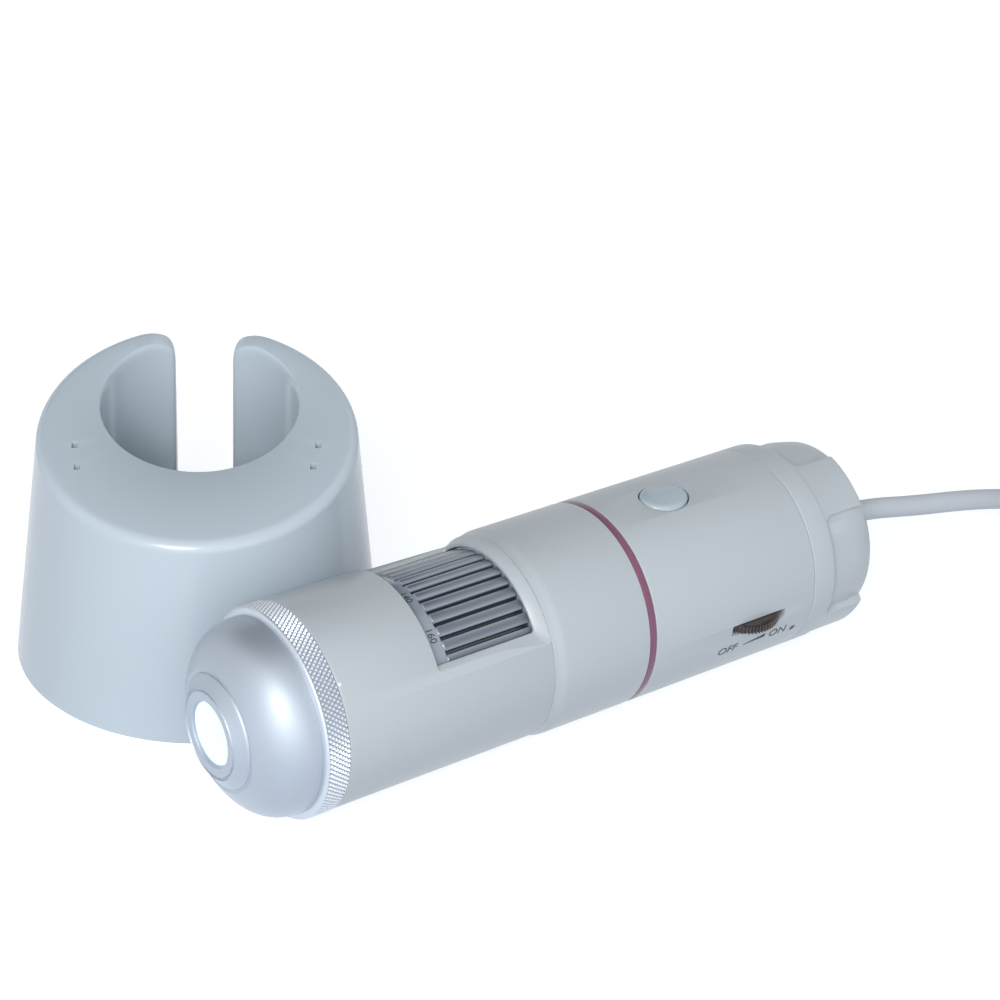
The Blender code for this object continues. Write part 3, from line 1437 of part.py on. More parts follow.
def build_plug(materials, table, cord_end, heading):
    hub = make_empty("plug_axis", cord_end, table, math.degrees(heading))
    start = CLEARANCE
    neck_end = start + GRIP_NECK_LENGTH
    end = start + GRIP_LENGTH
    sections = (
        (start, GRIP_NECK_WIDTH, GRIP_NECK_WIDTH),
        (neck_end - GRIP_NECK_LENGTH / 2, GRIP_NECK_WIDTH, GRIP_NECK_WIDTH),
        (neck_end, GRIP_WIDTH - GRIP_CORNER, GRIP_HEIGHT - GRIP_CORNER / 2),
        (neck_end + GRIP_CORNER, GRIP_WIDTH, GRIP_HEIGHT),
        (end - GRIP_CORNER / 2, GRIP_WIDTH, GRIP_HEIGHT),
        (end, GRIP_WIDTH - GRIP_CORNER, GRIP_HEIGHT - GRIP_CORNER),
    )
    loops = []
    for station, width, height in sections:
        outline = rounded_rectangle(width, height, GRIP_CORNER, 3)
        loops.append([(station, point.x, point.y) for point in outline])
    grip = finish_object("usb_plug_grip", stacked(loops), materials["cord"], hub)
    for side in (-1, 1):
        for i in range(GRIP_FLUTES):
            place = neck_end + GRIP_CORNER + GRIP_FLUTE_PITCH * (i + 1)
            far = side * (GRIP_WIDTH / 2 + CUT_OVERRUN)
            near = side * (GRIP_WIDTH / 2 - GRIP_FLUTE_DEPTH)
            flute = box(
                (place, min(near, far), -GRIP_HEIGHT),
                (place + GRIP_FLUTE_WIDTH, max(near, far), GRIP_HEIGHT),
            )
            cut(grip, finish_object(f"flute_tool_{side}_{i}", flute, None, hub))

    shell_start = end + CLEARANCE
    shell_end = shell_start + PLUG_SHELL_LENGTH
    half_width = PLUG_SHELL_WIDTH / 2
    half_height = PLUG_SHELL_HEIGHT / 2
    low = (shell_start, -half_width, -half_height)
    high = (shell_end, half_width, half_height)
    shell = finish_object("usb_plug_shell", box(low, high), materials["steel"], hub)
    wall = PLUG_SHELL_WALL
    ceiling = half_height - wall
    mouth = box(
        (shell_start + wall, -half_width + wall, ceiling - (2 * ceiling) * PLUG_TONGUE_SHARE),
        (shell_end + CUT_OVERRUN, half_width - wall, ceiling),
    )
    cut(shell, finish_object("plug_mouth_tool", mouth, None, hub))
    for side in (-1, 1):
        y = side * PLUG_WINDOW_SPACING / 2
        half = PLUG_WINDOW_SIZE / 2
        x = shell_start + PLUG_WINDOW_STATION
        window = box((x - half, y - half, ceiling - wall), (x + half, y + half, half_height + CUT_OVERRUN))
        cut(shell, finish_object(f"plug_window_tool_{side}", window, None, hub))


# Materials and assembly

def make_materials():
    return {
        "grey": make_material("blue_grey_plastic", (0.46, 0.52, 0.56), 0.32),
        "stand": make_material("stand_plastic", (0.50, 0.57, 0.62), 0.28),
        "silver": make_material("satin_silver", (0.55, 0.60, 0.64), 0.35, 0.6),
        "ring": make_material("knurled_silver", (0.66, 0.70, 0.74), 0.30, 0.7),
        "mauve": make_material("mauve_plastic", (0.25, 0.10, 0.18), 0.35),
        "wheel": make_material("wheel_plastic", (0.30, 0.36, 0.40), 0.25),
        "lit": make_material("lit_window", (0.85, 0.93, 1.00), 0.30),
        "board": make_material("circuit_board", (0.02, 0.16, 0.08), 0.50),
        "dark": make_material("dark_plastic", (0.06, 0.06, 0.07), 0.50),
        "black": make_material("black_plastic", (0.015, 0.013, 0.013), 0.45),
        "brass": make_material("brass", (0.60, 0.45, 0.20), 0.30, 1.0),
        "glass": make_material("lens_glass", (0.80, 0.90, 0.95), 0.05, 0.0, 0.4),
        "copper": make_material("ribbon", (0.55, 0.28, 0.10), 0.45),
        "cord": make_material("cord_plastic", (0.62, 0.66, 0.70), 0.45),
        "steel": make_material("plug_steel", (0.62, 0.63, 0.65), 0.28, 1.0),
    }


def build():
    clear_scene()
    materials = make_materials()
    table = make_empty("table", (-origin_x, -origin_y, 0.0))
    barrel = make_empty("barrel_axis", (0.0, 0.0, BODY_RADIUS), table, 0.0, BARREL_ROLL)
    stand = make_empty("stand_axis", (STAND_STATION, stand_distance, 0.0), table, STAND_TURN)
    build_nose(materials, barrel)
    build_light_board(materials, barrel)
    build_front_barrel(materials, barrel)
    build_middle_barrel(materials, barrel)
    build_rear_barrel(materials, barrel)
    build_rear_cap(materials, barrel)
    build_gland(materials, barrel)
    build_focus_wheel(materials, barrel)
    build_guide_tube(materials, barrel)
    build_lens_carriage(materials, barrel)
    build_sensor(materials, barrel)
    build_board(materials, barrel)
    build_switch_and_pot(materials, barrel)
    build_button(materials, barrel)
    build_dial(materials, barrel)
    build_stand(materials, stand)
    build_lead(materials, table)


build()
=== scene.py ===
# %% [markdown]
# # A pocket microscope and its stand
#
# The object is a handheld USB microscope that lies on a table, in front of the small stand that
# holds it upright when it is used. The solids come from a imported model. They are the fixed frame,
# and every piece made here sits on them. Nothing of that frame is moved.

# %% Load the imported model
from math import asin, atan2, cos, degrees, hypot, pi, radians, sin, sqrt, tau

import bpy
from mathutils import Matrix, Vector


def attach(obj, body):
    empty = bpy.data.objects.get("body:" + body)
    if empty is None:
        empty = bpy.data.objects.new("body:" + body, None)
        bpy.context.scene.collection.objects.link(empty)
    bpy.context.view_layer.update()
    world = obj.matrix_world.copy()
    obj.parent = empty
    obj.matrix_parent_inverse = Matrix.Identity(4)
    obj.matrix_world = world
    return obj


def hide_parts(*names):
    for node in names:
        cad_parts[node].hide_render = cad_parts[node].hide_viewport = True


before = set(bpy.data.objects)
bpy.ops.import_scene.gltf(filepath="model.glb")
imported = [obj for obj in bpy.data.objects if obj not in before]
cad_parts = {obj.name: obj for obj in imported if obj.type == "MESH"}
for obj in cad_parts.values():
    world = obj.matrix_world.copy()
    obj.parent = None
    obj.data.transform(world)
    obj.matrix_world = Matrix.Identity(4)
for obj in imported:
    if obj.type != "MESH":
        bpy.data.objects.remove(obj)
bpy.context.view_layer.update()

# %% [markdown]
# ## The lines that everything follows
#
# The barrel is a round body, so most of its pieces are turned about one line. That line lies along
# X, 17.5 mm above the table. A place on the barrel is then two numbers: how far along, counted from
# the rear edge of the knurled ring, and at which angle around. The angle starts at the side that
# faces the camera and grows towards the top.

# %% Places on the barrel
MM = 0.001
QUARTER = radians(90.0)
BARREL_ORIGIN = Vector((-46.6, -28.9126, 17.5)) * MM
BARREL_ROLL = radians(5.0)
BODY_RADIUS = 17.5
FRONT_RADIUS = 17.1
BUTTON_STATION = 71.2


def on_barrel(station, angle, radius):
    """A point in the room from a station, an angle in degrees and a radius."""
    turn = radians(angle) - BARREL_ROLL
    side = Vector((station, -radius * cos(turn), radius * sin(turn)))
    return BARREL_ORIGIN + side


button_place = on_barrel(BUTTON_STATION * MM, 90.0, BODY_RADIUS * MM)
print("the button stands at", [round(v, 4) for v in button_place])

# %% [markdown]
# ## The camera
#
# The place of the camera was found by fitting the circles of the seams and the rims of the stand to
# the picture. It stands close, so the nose looks bigger than the rear cap, and it is tipped by
# about three degrees. The picture is square, so the lens in millimetres is the focal length in
# picture points, times the width of the sensor, over the width of the picture.

# %% Set up the camera
SENSOR_WIDTH = 36.0
PICTURE_WIDTH = 1000.0
FOCAL_POINTS = 2683.34
camera_data = bpy.data.cameras.new("camera")
camera_data.sensor_width = SENSOR_WIDTH
camera_data.lens = FOCAL_POINTS * SENSOR_WIDTH / PICTURE_WIDTH
camera_data.clip_start = 0.01
camera = bpy.data.objects.new("camera", camera_data)
camera.location = (-0.230418, -0.3217316, 0.254334)
camera.rotation_euler = [radians(turn) for turn in (60.0821, -2.8052, -35.5848)]
bpy.context.scene.collection.objects.link(camera)
bpy.context.scene.camera = camera
print("lens:", round(camera_data.lens, 2), "mm")

# %% [markdown]
# ## The lead
#
# The lead is 3.8 mm thick and about 1.2 m long. It leaves the rubber gland level with the barrel's
# middle, sinks to the table, and the rest is wound as for storage: four layers of about two turns,
# and a tail that rises over the coil to the plug. One open curve runs through all of it, so its
# thickness and length stay true, and becomes a tube of faces. Its first points were chosen one by
# one. The coil is a spiral that steps in and out by a little more than one thickness a turn.

# %% Route of the lead from the gland to the table
LEAD_DIAMETER = 3.8 * MM
LEAD_START = 113.8
DROP_COUNT = 34
DROP = (
    (0.0, 17.5), (5.0, 17.1), (10.2, 16.2), (16.5, 14.7), (22.8, 13.3), (29.5, 11.9),
    (37.0, 10.1), (44.0, 8.1), (51.0, 5.9), (57.0, 4.1), (61.5, 3.1), (65.0, 2.8),
)
table_point = Vector((BARREL_ORIGIN.x, BARREL_ORIGIN.y, 0.0))


def smooth_line(points, count):
    """Read points from a Catmull-Rom curve through the given ones."""
    ends = [2 * points[0] - points[1]] + list(points) + [2 * points[-1] - points[-2]]
    spans = len(points) - 1
    line = []
    for i in range(count):
        place = spans * i / (count - 1)
        k = min(int(place), spans - 1)
        t = place - k
        a, b, c, d = ends[k:k + 4]
        pull = (c - a) * t + (2 * a - 5 * b + 4 * c - d) * t ** 2
        line.append(0.5 * (2 * b + pull + (3 * b - a - 3 * c + d) * t ** 3))
    return line


drop_points = [table_point + Vector((LEAD_START + x, 0.0, z)) * MM for x, z in DROP]
lead_points = smooth_line(drop_points, DROP_COUNT)
print("the lead reaches the table at", [round(v, 4) for v in lead_points[-1]])

# %% Route of the coil
TURN_PITCH = 4.26 * MM
LAYERS = 4
TURNS_PER_LAYER = 2.1
INNER_RADIUS = 15.9 * MM
POINTS_PER_TURN = 40
HALF_CLIMB = 0.25
COIL_BASE = 2.8 * MM
TAIL_RISE = 6.2 * MM
COIL_CENTRE = table_point + Vector((182.9, -24.85, 0.0)) * MM
outer_radius = INNER_RADIUS + TURNS_PER_LAYER * TURN_PITCH
total_turns = LAYERS * TURNS_PER_LAYER
plug_height = COIL_BASE + (LAYERS - 1) * TURN_PITCH + TAIL_RISE


def clamp(value):
    return min(max(value, 0.0), 1.0)


def coil_point(t):
    """The coil's centre line after t turns."""
    layer = min(int(t / TURNS_PER_LAYER), LAYERS - 1)
    along = t - layer * TURNS_PER_LAYER
    inward = along if layer % 2 == 0 else TURNS_PER_LAYER - along
    radius = outer_radius - inward * TURN_PITCH
    height = COIL_BASE
    for k in range(1, LAYERS):
        climbed = (t - k * TURNS_PER_LAYER + HALF_CLIMB) / (2 * HALF_CLIMB)
        height += TURN_PITCH * clamp(climbed)
    height += 0.5 * TAIL_RISE * clamp((t - total_turns + HALF_CLIMB) / HALF_CLIMB) ** 2
    angle = QUARTER - tau * t
    return COIL_CENTRE + Vector((radius * cos(angle), radius * sin(angle), height))


steps = round(total_turns * POINTS_PER_TURN)
coil_points = [coil_point(total_turns * i / steps) for i in range(steps + 1)]
print("coil points:", len(coil_points), "top of the coil:", round(coil_points[-1].z, 4))

# %% The tail that rises over the coil to the plug
TAIL_RADIUS = 16.0 * MM
TAIL_TURN = radians(120.0)
TAIL_STEPS = 9
TAIL_RISE_END = 0.62
TAIL_STRAIGHT = 5.2 * MM


def flat_direction(angle):
    return Vector((cos(angle), sin(angle), 0.0))


inward = -tau * total_turns - QUARTER
tail_start = coil_points[-1]
hub = tail_start + TAIL_RADIUS * flat_direction(inward)
tail_points = []
for i in range(1, TAIL_STEPS + 1):
    away = inward + pi - TAIL_TURN * i / TAIL_STEPS
    spot = hub + TAIL_RADIUS * flat_direction(away)
    risen = sin(QUARTER * clamp(i / TAIL_STEPS / TAIL_RISE_END))
    spot.z = tail_start.z + (plug_height - tail_start.z) * risen
    tail_points.append(spot)
plug_line = flat_direction(inward + QUARTER - TAIL_TURN)
tail_points.append(tail_points[-1] + plug_line * TAIL_STRAIGHT)
route = lead_points + coil_points + tail_points

# %% [markdown]
# ## Handling pieces
#
# An operator acts on everything that is selected, so each step starts by selecting one piece alone,
# or nothing. A few small helpers do that, add a primitive and lay its place into its mesh, open a
# piece in edit mode, and close it again once doubled points are merged and all faces look outwards.

# %% Helpers for one piece
def pick(piece=None):
    """Select one piece alone, or nothing at all."""
    bpy.ops.object.select_all(action="DESELECT")
    if piece:
        piece.select_set(True)
        bpy.context.view_layer.objects.active = piece


def apply_place():
    """Lay the place, turn and size of what is selected into its mesh."""
    bpy.ops.object.transform_apply(location=True, rotation=True, scale=True)


def started(name, add, **settings):
    """Add a primitive under a name, with its place laid into its mesh."""
    pick()
    add(**settings)
    apply_place()
    bpy.context.object.name = name
    return bpy.context.object


def open_all(piece):
    """Open a piece in edit mode, with all of it selected."""
    bpy.context.view_layer.objects.active = piece
    bpy.ops.object.mode_set(mode="EDIT")
    bpy.ops.mesh.select_all(action="SELECT")


def leave():
    """Go back to object mode."""
    bpy.ops.object.mode_set(mode="OBJECT")


def close_up(distance=0.002):
    """Merge points nearer than a distance, turn faces outwards and leave edit mode."""
    bpy.ops.mesh.select_all(action="SELECT")
    bpy.ops.mesh.remove_doubles(threshold=distance * MM)
    bpy.ops.mesh.normals_make_consistent(inside=False)
    leave()


print("helpers are ready")

# %% Make the lead
lead_curve = bpy.data.curves.new("lead", "CURVE")
lead_curve.dimensions = "3D"
lead_curve.bevel_depth = LEAD_DIAMETER / 2
lead_curve.bevel_resolution = 5
lead_curve.use_fill_caps = True
line = lead_curve.splines.new("POLY")
line.points.add(len(route) - 1)
for spot, point in zip(line.points, route):
    spot.co = (*point, 1.0)
line.use_smooth = True
lead = bpy.data.objects.new("lead", lead_curve)
bpy.context.scene.collection.objects.link(lead)
pick(lead)
bpy.ops.object.convert(target="MESH")
lead = bpy.context.object
open_all(lead)
close_up(0.01)
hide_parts("cable", "cable_coil")
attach(lead, "microscope")
print("lead:", len(lead.data.polygons), "faces")

# %% [markdown]
# ## Writing a finish as sums
#
# A finish is a tree of nodes, and most of them are plain sums. A small class holds one socket, and
# Python's own signs add the Math nodes. Every other node comes from one method, which sets the
# node's own choices first and then its sockets. The same class of tree serves the world.

# %% A socket that can be added and multiplied
def signs(operation):
    """The methods of one sign, for a socket on its left and for a number on its left."""

    def forward(self, other):
        return self.sum(operation, self, other)

    def reflected(self, other):
        return self.sum(operation, other, self)

    return forward, reflected


class Wire:
    """One output socket of a tree."""

    def __init__(self, tree, socket):
        self.tree = tree
        self.socket = socket

    def sum(self, operation, first, second):
        return self.tree.node("ShaderNodeMath", {"operation": operation}, {0: first, 1: second})

    __add__, __radd__ = signs("ADD")
    __sub__, __rsub__ = signs("SUBTRACT")
    __mul__, __rmul__ = signs("MULTIPLY")


# %% A tree of nodes
class Tree:
    """The nodes of a material or of the world."""

    def __init__(self, owner):
        owner.use_nodes = True
        self.nodes = owner.node_tree.nodes
        self.links = owner.node_tree.links

    def link(self, value, socket):
        if isinstance(value, Wire):
            self.links.new(value.socket, socket)
        else:
            socket.default_value = value

    def node(self, kind, settings=None, sockets=None, output=0):
        made = self.nodes.new(kind)
        for key, value in (settings or {}).items():
            if key == "stops":
                ramp = made.color_ramp
                while len(ramp.elements) < len(value):
                    ramp.elements.new(0.5)
                for element, (place, colour) in zip(ramp.elements, value):
                    element.position = place
                    element.color = colour
            else:
                setattr(made, key, value)
        for key, value in (sockets or {}).items():
            self.link(value, made.inputs[key])
        return Wire(self, made.outputs[output])

    def seen(self):
        """1 for rays from the camera, through glass and off mirrors, and 0 for all others."""
        path = self.nodes.new("ShaderNodeLightPath")
        share = Wire(self, path.outputs["Is Camera Ray"])
        for ray in ("Is Transmission Ray", "Is Glossy Ray"):
            share = share.sum("MAXIMUM", share, Wire(self, path.outputs[ray]))
        return share


print("trees are ready")

# %% A finish and its shader
class Finish(Tree):
    """A material with one Principled shader."""

    def __init__(self, name, colour, roughness, metallic=0.0):
        self.material = bpy.data.materials.new(name)
        super().__init__(self.material)
        self.set("Base Color", (*colour, 1.0))
        self.set("Roughness", roughness)
        self.set("Metallic", metallic)

    def set(self, socket, value):
        self.link(value, self.nodes["Principled BSDF"].inputs[socket])

    def place(self):
        return self.node("ShaderNodeTexCoord", output="Object")

    def noise(self, scale, detail=2.0):
        sockets = {"Vector": self.place(), "Scale": scale, "Detail": detail}
        return self.node("ShaderNodeTexNoise", {}, sockets)

    def between(self, amount, first, second):
        sockets = {0: amount, 6: (*first, 1.0), 7: (*second, 1.0)}
        return self.node("ShaderNodeMix", {"data_type": "RGBA"}, sockets, output=2)

    def vector(self, operation, sockets, output=0):
        return self.node("ShaderNodeVectorMath", {"operation": operation}, sockets, output)

    def from_axis(self, inner, outer):
        """0 at the inner radius of the barrel and 1 at the outer one, in millimetres."""
        offset = self.vector("SUBTRACT", {0: self.place(), 1: BARREL_ORIGIN})
        flat = self.vector("MULTIPLY", {0: offset, 1: (0.0, 1 / MM, 1 / MM)})
        radius = self.vector("LENGTH", {0: flat}, output=1)
        sockets = {"Value": radius, "From Min": inner, "From Max": outer}
        return self.node("ShaderNodeMapRange", {}, sockets)

    def relief(self, height, depth):
        sockets = {"Strength": 1.0, "Distance": depth, "Height": height}
        self.set("Normal", self.node("ShaderNodeBump", {}, sockets))


print("finishes are ready to be made")

# %% [markdown]
# ## Table and backdrop
#
# The picture was cut out on pure white. A big pale sheet lies under the object and keeps a soft
# shadow. For rays from the camera, and for mirrored rays, it also gives off a little light of its
# own, so that it reads as white there, while the lamps stay at a plain level.

# %% Pale floor
FLOOR_COLOUR = (0.46, 0.50, 0.56, 1.0)
FLOOR_GLOW = 0.78
WHITE = (1.0, 1.0, 1.0, 1.0)
floor = started("floor", bpy.ops.mesh.primitive_plane_add, size=6.0)
floor_material = bpy.data.materials.new("pale_floor")
paint = Tree(floor_material)
paint.nodes.remove(paint.nodes["Principled BSDF"])
matte = paint.node("ShaderNodeBsdfDiffuse", {}, {"Color": FLOOR_COLOUR})
sockets = {"Color": WHITE, "Strength": paint.seen() * FLOOR_GLOW}
glow = paint.node("ShaderNodeEmission", {}, sockets)
both = paint.node("ShaderNodeAddShader", {}, {0: matte, 1: glow})
paint.link(both, paint.nodes["Material Output"].inputs["Surface"])
floor.data.materials.append(floor_material)
print("floor:", tuple(round(v, 2) for v in floor.dimensions))

# %% White room around the table
ROOM_COLOUR = (0.88, 0.94, 1.0, 1.0)
ROOM_STRENGTH = 0.5
world = bpy.data.worlds.new("room")
bpy.context.scene.world = world
sky = Tree(world)
sky.nodes.remove(sky.nodes["Background"])
room = sky.node("ShaderNodeBackground", {}, {"Color": ROOM_COLOUR, "Strength": ROOM_STRENGTH})
white = sky.node("ShaderNodeBackground", {}, {"Color": WHITE, "Strength": 1.0})
blend = sky.node("ShaderNodeMixShader", {}, {0: sky.seen(), 1: room, 2: white})
sky.link(blend, sky.nodes["World Output"].inputs["Surface"])
bpy.context.scene.view_settings.view_transform = "Standard"
print("view transform:", bpy.context.scene.view_settings.view_transform)

# %% [markdown]
# ## Lamps
#
# The nose carries one round, soft highlight on its left shoulder, and the stand's upper edge shines
# all along. Both come from one soft lamp, high and to the left of the camera. A wide lamp low
# beside the camera lights the fronts. A dark card hangs over the back of the table, out of view,
# because the upper sides of the nose and the barrel mirror a darker part of the room.

# %% Soft lamps
MIDDLE = Vector((0.0, -0.005, 0.02))
LAMPS = (
    ("key_lamp", (-0.68, -0.64, 0.62), 0.4, 4.8, (1.0, 0.99, 0.97)),
    ("front_lamp", (-0.50, -0.76, 0.3), 1.5, 6.2, (1.0, 0.99, 0.98)),
)
for name, place, size, power, colour in LAMPS:
    light = bpy.data.lights.new(name, "AREA")
    light.shape = "DISK"
    light.size = size
    light.energy = power
    light.color = colour
    lamp = bpy.data.objects.new(name, light)
    lamp.location = place
    lamp.rotation_euler = (MIDDLE - Vector(place)).to_track_quat("-Z", "Y").to_euler()
    bpy.context.scene.collection.objects.link(lamp)
print("lamps:", [row[0] for row in LAMPS])

# %% Dark card above the back of the table
card = started(
    "dark_card",
    bpy.ops.mesh.primitive_plane_add,
    size=1.0,
    location=(0.0, 0.42, 0.72),
    rotation=(radians(-30.0), 0.0, 0.0),
    scale=(1.4, 0.7, 1.0),
)
card.data.materials.append(Finish("dark_card", (0.05, 0.055, 0.065), 0.9).material)
print("card:", tuple(round(v, 2) for v in card.dimensions))

# %% [markdown]
# ## Moulded plastics
#
# The barrel and the stand are glossy injection-moulded plastic, a pale blue-grey. A moulded surface
# is never quite flat: it carries a very shallow waviness and small differences in shine from
# handling, and its colour drifts by about one part in a hundred. Each of the three comes from noise
# at its own scale.

# %% Barrel, stand and button plastics
COLOUR_DRIFT = 0.012
SHINE_DRIFT = 0.06
COLOUR_SCALE = 25.0
SHINE_SCALE = 60.0
WAVE_SCALE = 220.0


def tinted(colour, factor):
    return [part * factor for part in colour]


def moulded(name, colour, roughness, wave=0.000006):
    """A glossy moulded plastic with a shallow waviness."""
    finish = Finish(name, colour, roughness)
    dark, light = tinted(colour, 1 - COLOUR_DRIFT), tinted(colour, 1 + COLOUR_DRIFT)
    finish.set("Base Color", finish.between(finish.noise(COLOUR_SCALE), dark, light))
    finish.set("Roughness", roughness + (finish.noise(SHINE_SCALE) - 0.5) * SHINE_DRIFT)
    finish.relief(finish.noise(WAVE_SCALE, 1.0), wave)
    return finish


barrel_plastic = moulded("barrel_plastic", (0.49, 0.535, 0.565), 0.32)
stand_plastic = moulded("stand_plastic", (0.52, 0.595, 0.66), 0.2)
button_plastic = moulded("button_plastic", (0.44, 0.515, 0.565), 0.2)
lead_plastic = moulded("lead_plastic", (0.57, 0.61, 0.66), 0.45, 0.00001)
dark_plastic = moulded("dark_plastic", (0.035, 0.036, 0.04), 0.45)
rubber = moulded("soft_rubber", (0.52, 0.56, 0.60), 0.55)
mauve_plastic = moulded("mauve_plastic", (0.21, 0.075, 0.135), 0.33)
dial_plastic = moulded("dial_plastic", (0.075, 0.063, 0.06), 0.36)
print("plastics:", barrel_plastic.material.name, stand_plastic.material.name)

# %% [markdown]
# ## Clear plastic of the focus wheel
#
# The wheel is clear grey plastic, so its grooves look deep and dark and the edges of its ribs catch
# light from inside. Real glass-like shaders would show the dark inside instead, so light and shade
# are painted into the colour. It follows the distance from the barrel's line: painted shade at the
# bottom of a groove, a painted highlight on the flank of a rib and a middle grey on its crown. A
# clear coat adds the gloss.

# %% Wheel plastic
# Painted shade in the grooves and a painted highlight on the rib flanks, from groove to crown.
RIB_PAINTED_SHADE_STOPS = (
    (0.0, (0.02, 0.025, 0.03, 1.0)),
    (0.4, (0.05, 0.06, 0.075, 1.0)),
    (0.62, (0.30, 0.345, 0.405, 1.0)),
    (0.76, (0.27, 0.31, 0.37, 1.0)),
    (1.0, (0.12, 0.145, 0.18, 1.0)),
)
wheel_plastic = moulded("wheel_plastic", (0.15, 0.17, 0.20), 0.2)
share = wheel_plastic.from_axis(14.45, 15.4)
ribs = wheel_plastic.node("ShaderNodeValToRGB", {"stops": RIB_PAINTED_SHADE_STOPS}, {"Fac": share})
wheel_plastic.set("Base Color", ribs)
wheel_plastic.set("Coat Weight", 0.35)
wheel_plastic.set("Specular IOR Level", 0.6)
print("wheel:", len(RIB_PAINTED_SHADE_STOPS), "colours from groove to crown")

# %% [markdown]
# ## Satin silver, light and metals
#
# The nose is plastic with a satin silver paint. Such paint holds tiny flakes, so it is a rough
# metal with a fine sparkle in its roughness and its relief, and the clear coat over the flakes
# gives the highlight its bright middle. The knurl's colour is darker in its grooves, which is
# painted shade, and lighter on its tips, which is partly wear and partly a painted highlight. The
# window in the nose is lit from behind.

# %% Painted nose, knurled ring and steel
FLAKE_SCALE = 3800.0
METAL_SCALE = 900.0
FLAKE_SHINE = 0.1
FLAKE_DEPTH = 0.00001
CLOUD_SCALE = 70.0


def flaked(name, colour, roughness, metallic, scale=FLAKE_SCALE):
    """A metal, or a paint with metal flakes."""
    finish = Finish(name, colour, roughness, metallic)
    flake = finish.noise(scale, 1.0)
    dark, light = tinted(colour, 0.93), tinted(colour, 1.06)
    finish.set("Base Color", finish.between(finish.noise(CLOUD_SCALE), dark, light))
    finish.set("Roughness", roughness + (flake - 0.5) * FLAKE_SHINE)
    finish.relief(flake, FLAKE_DEPTH)
    return finish


silver_paint = flaked("satin_silver_paint", (0.43, 0.485, 0.56), 0.54, 0.7)
silver_paint.set("Coat Weight", 0.7)
silver_paint.set("Coat Roughness", 0.36)
ring_silver = flaked("ring_silver", (0.62, 0.68, 0.75), 0.36, 0.6)
plug_steel = flaked("plug_steel", (0.62, 0.63, 0.65), 0.2, 1.0, METAL_SCALE)
brass = flaked("brass", (0.60, 0.45, 0.20), 0.36, 1.0, METAL_SCALE)
knurl_silver_painted_shade = flaked("knurl_silver_painted_shade", (0.7, 0.74, 0.8), 0.36, 0.35)
# Painted shade darkens the knurl's grooves, and its lighter tips are partly wear and partly a
# painted highlight.
share = knurl_silver_painted_shade.from_axis(16.95, 17.2)
painted_shade_and_wear = knurl_silver_painted_shade.between(share, (0.36, 0.40, 0.46), (0.80, 0.85, 0.91))
knurl_silver_painted_shade.set("Base Color", painted_shade_and_wear)
print("metals:", silver_paint.material.name, ring_silver.material.name)

# %% Light, glass and the inside
lit_window = Finish("lit_window", (0.2, 0.25, 0.3), 0.3)
lit_window.set("Emission Strength", 0.88)
lit_window.set("Emission Color", (0.80, 0.95, 1.0, 1.0))
lens_glass = Finish("lens_glass", (0.9, 0.95, 0.97), 0.03)
lens_glass.set("Transmission Weight", 1.0)
led_dome = moulded("led_dome", (0.86, 0.88, 0.80), 0.2)
board_mask = moulded("board_mask", (0.015, 0.13, 0.06), 0.42)
ribbon_film = moulded("ribbon_film", (0.45, 0.20, 0.06), 0.4)
chip_face = moulded("chip_face", (0.02, 0.02, 0.022), 0.5)
print_ink = moulded("print_ink", (0.03, 0.035, 0.05), 0.5, 0.000002)
white_ink = moulded("white_ink", (0.85, 0.87, 0.88), 0.4, 0.000002)
print("finishes:", len(bpy.data.materials))

# %% [markdown]
# ## Turned pieces
#
# Nearly every piece of the barrel could come off a lathe, so one helper works like a lathe. It puts
# a single point at the start of an outline, pulls it from place to place with Extrude, and spins
# the finished outline once about the barrel's line. Spin leaves a seam where it meets itself, so
# doubles are merged, and then the normals are turned outwards. An outline is a row of stations and
# radii in millimetres, and a small helper writes the points of its rounded edges.

# %% Settle a finished piece
def settle(piece, finish, slot, *stands_for, body="microscope", angle=32.0):
    """Give a piece its finish, its body and the solids that it stands for."""
    pick(piece)
    apply_place()
    bpy.ops.object.shade_smooth_by_angle(angle=radians(angle))
    piece.data.materials.clear()
    piece.data.materials.append(finish.material)
    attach(piece, body)
    if stands_for:
        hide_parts(*stands_for)
    print(piece.name, len(piece.data.polygons), "faces")


# %% The lathe
def rounding(station, radius, size, start, end, count=5):
    """A rounded edge about a centre. 0 degrees looks to the rear, 90 away from the axis."""
    points = []
    for i in range(count + 1):
        turn = radians(start + (end - start) * i / count)
        points.append((station + size * cos(turn), radius + size * sin(turn)))
    return points


def turned(name, outline, steps=240):
    """Spin an outline of stations and radii about the barrel's line."""
    piece = started(name, bpy.ops.mesh.primitive_plane_add, size=MM)
    open_all(piece)
    bpy.ops.mesh.select_mode(type="VERT")
    bpy.ops.mesh.merge(type="CENTER")
    station, radius = outline[0]
    bpy.ops.transform.translate(value=BARREL_ORIGIN + Vector((station, 0.0, radius)) * MM)
    for (s0, r0), (s1, r1) in zip(outline, outline[1:]):
        pull = Vector((s1 - s0, 0.0, r1 - r0)) * MM
        bpy.ops.mesh.extrude_vertices_move(TRANSFORM_OT_translate={"value": pull})
    bpy.ops.mesh.select_all(action="SELECT")
    bpy.ops.mesh.spin(steps=steps, angle=tau, center=BARREL_ORIGIN, axis=(1.0, 0.0, 0.0))
    close_up()
    return piece


print("points of a quarter round:", len(rounding(0.0, 0.0, 1.0, 0.0, 90.0)))

# %% [markdown]
# ## Nose and light
#
# The nose is one silver shell: a blunt dome, then a soft crease, a boss with a rounded shoulder,
# and a flat face with a fine groove round the window. The dome's outline is a blunt oval, which one
# formula gives, so its points are read from that formula. The window is a low crowned disc that
# lies a little below the face.

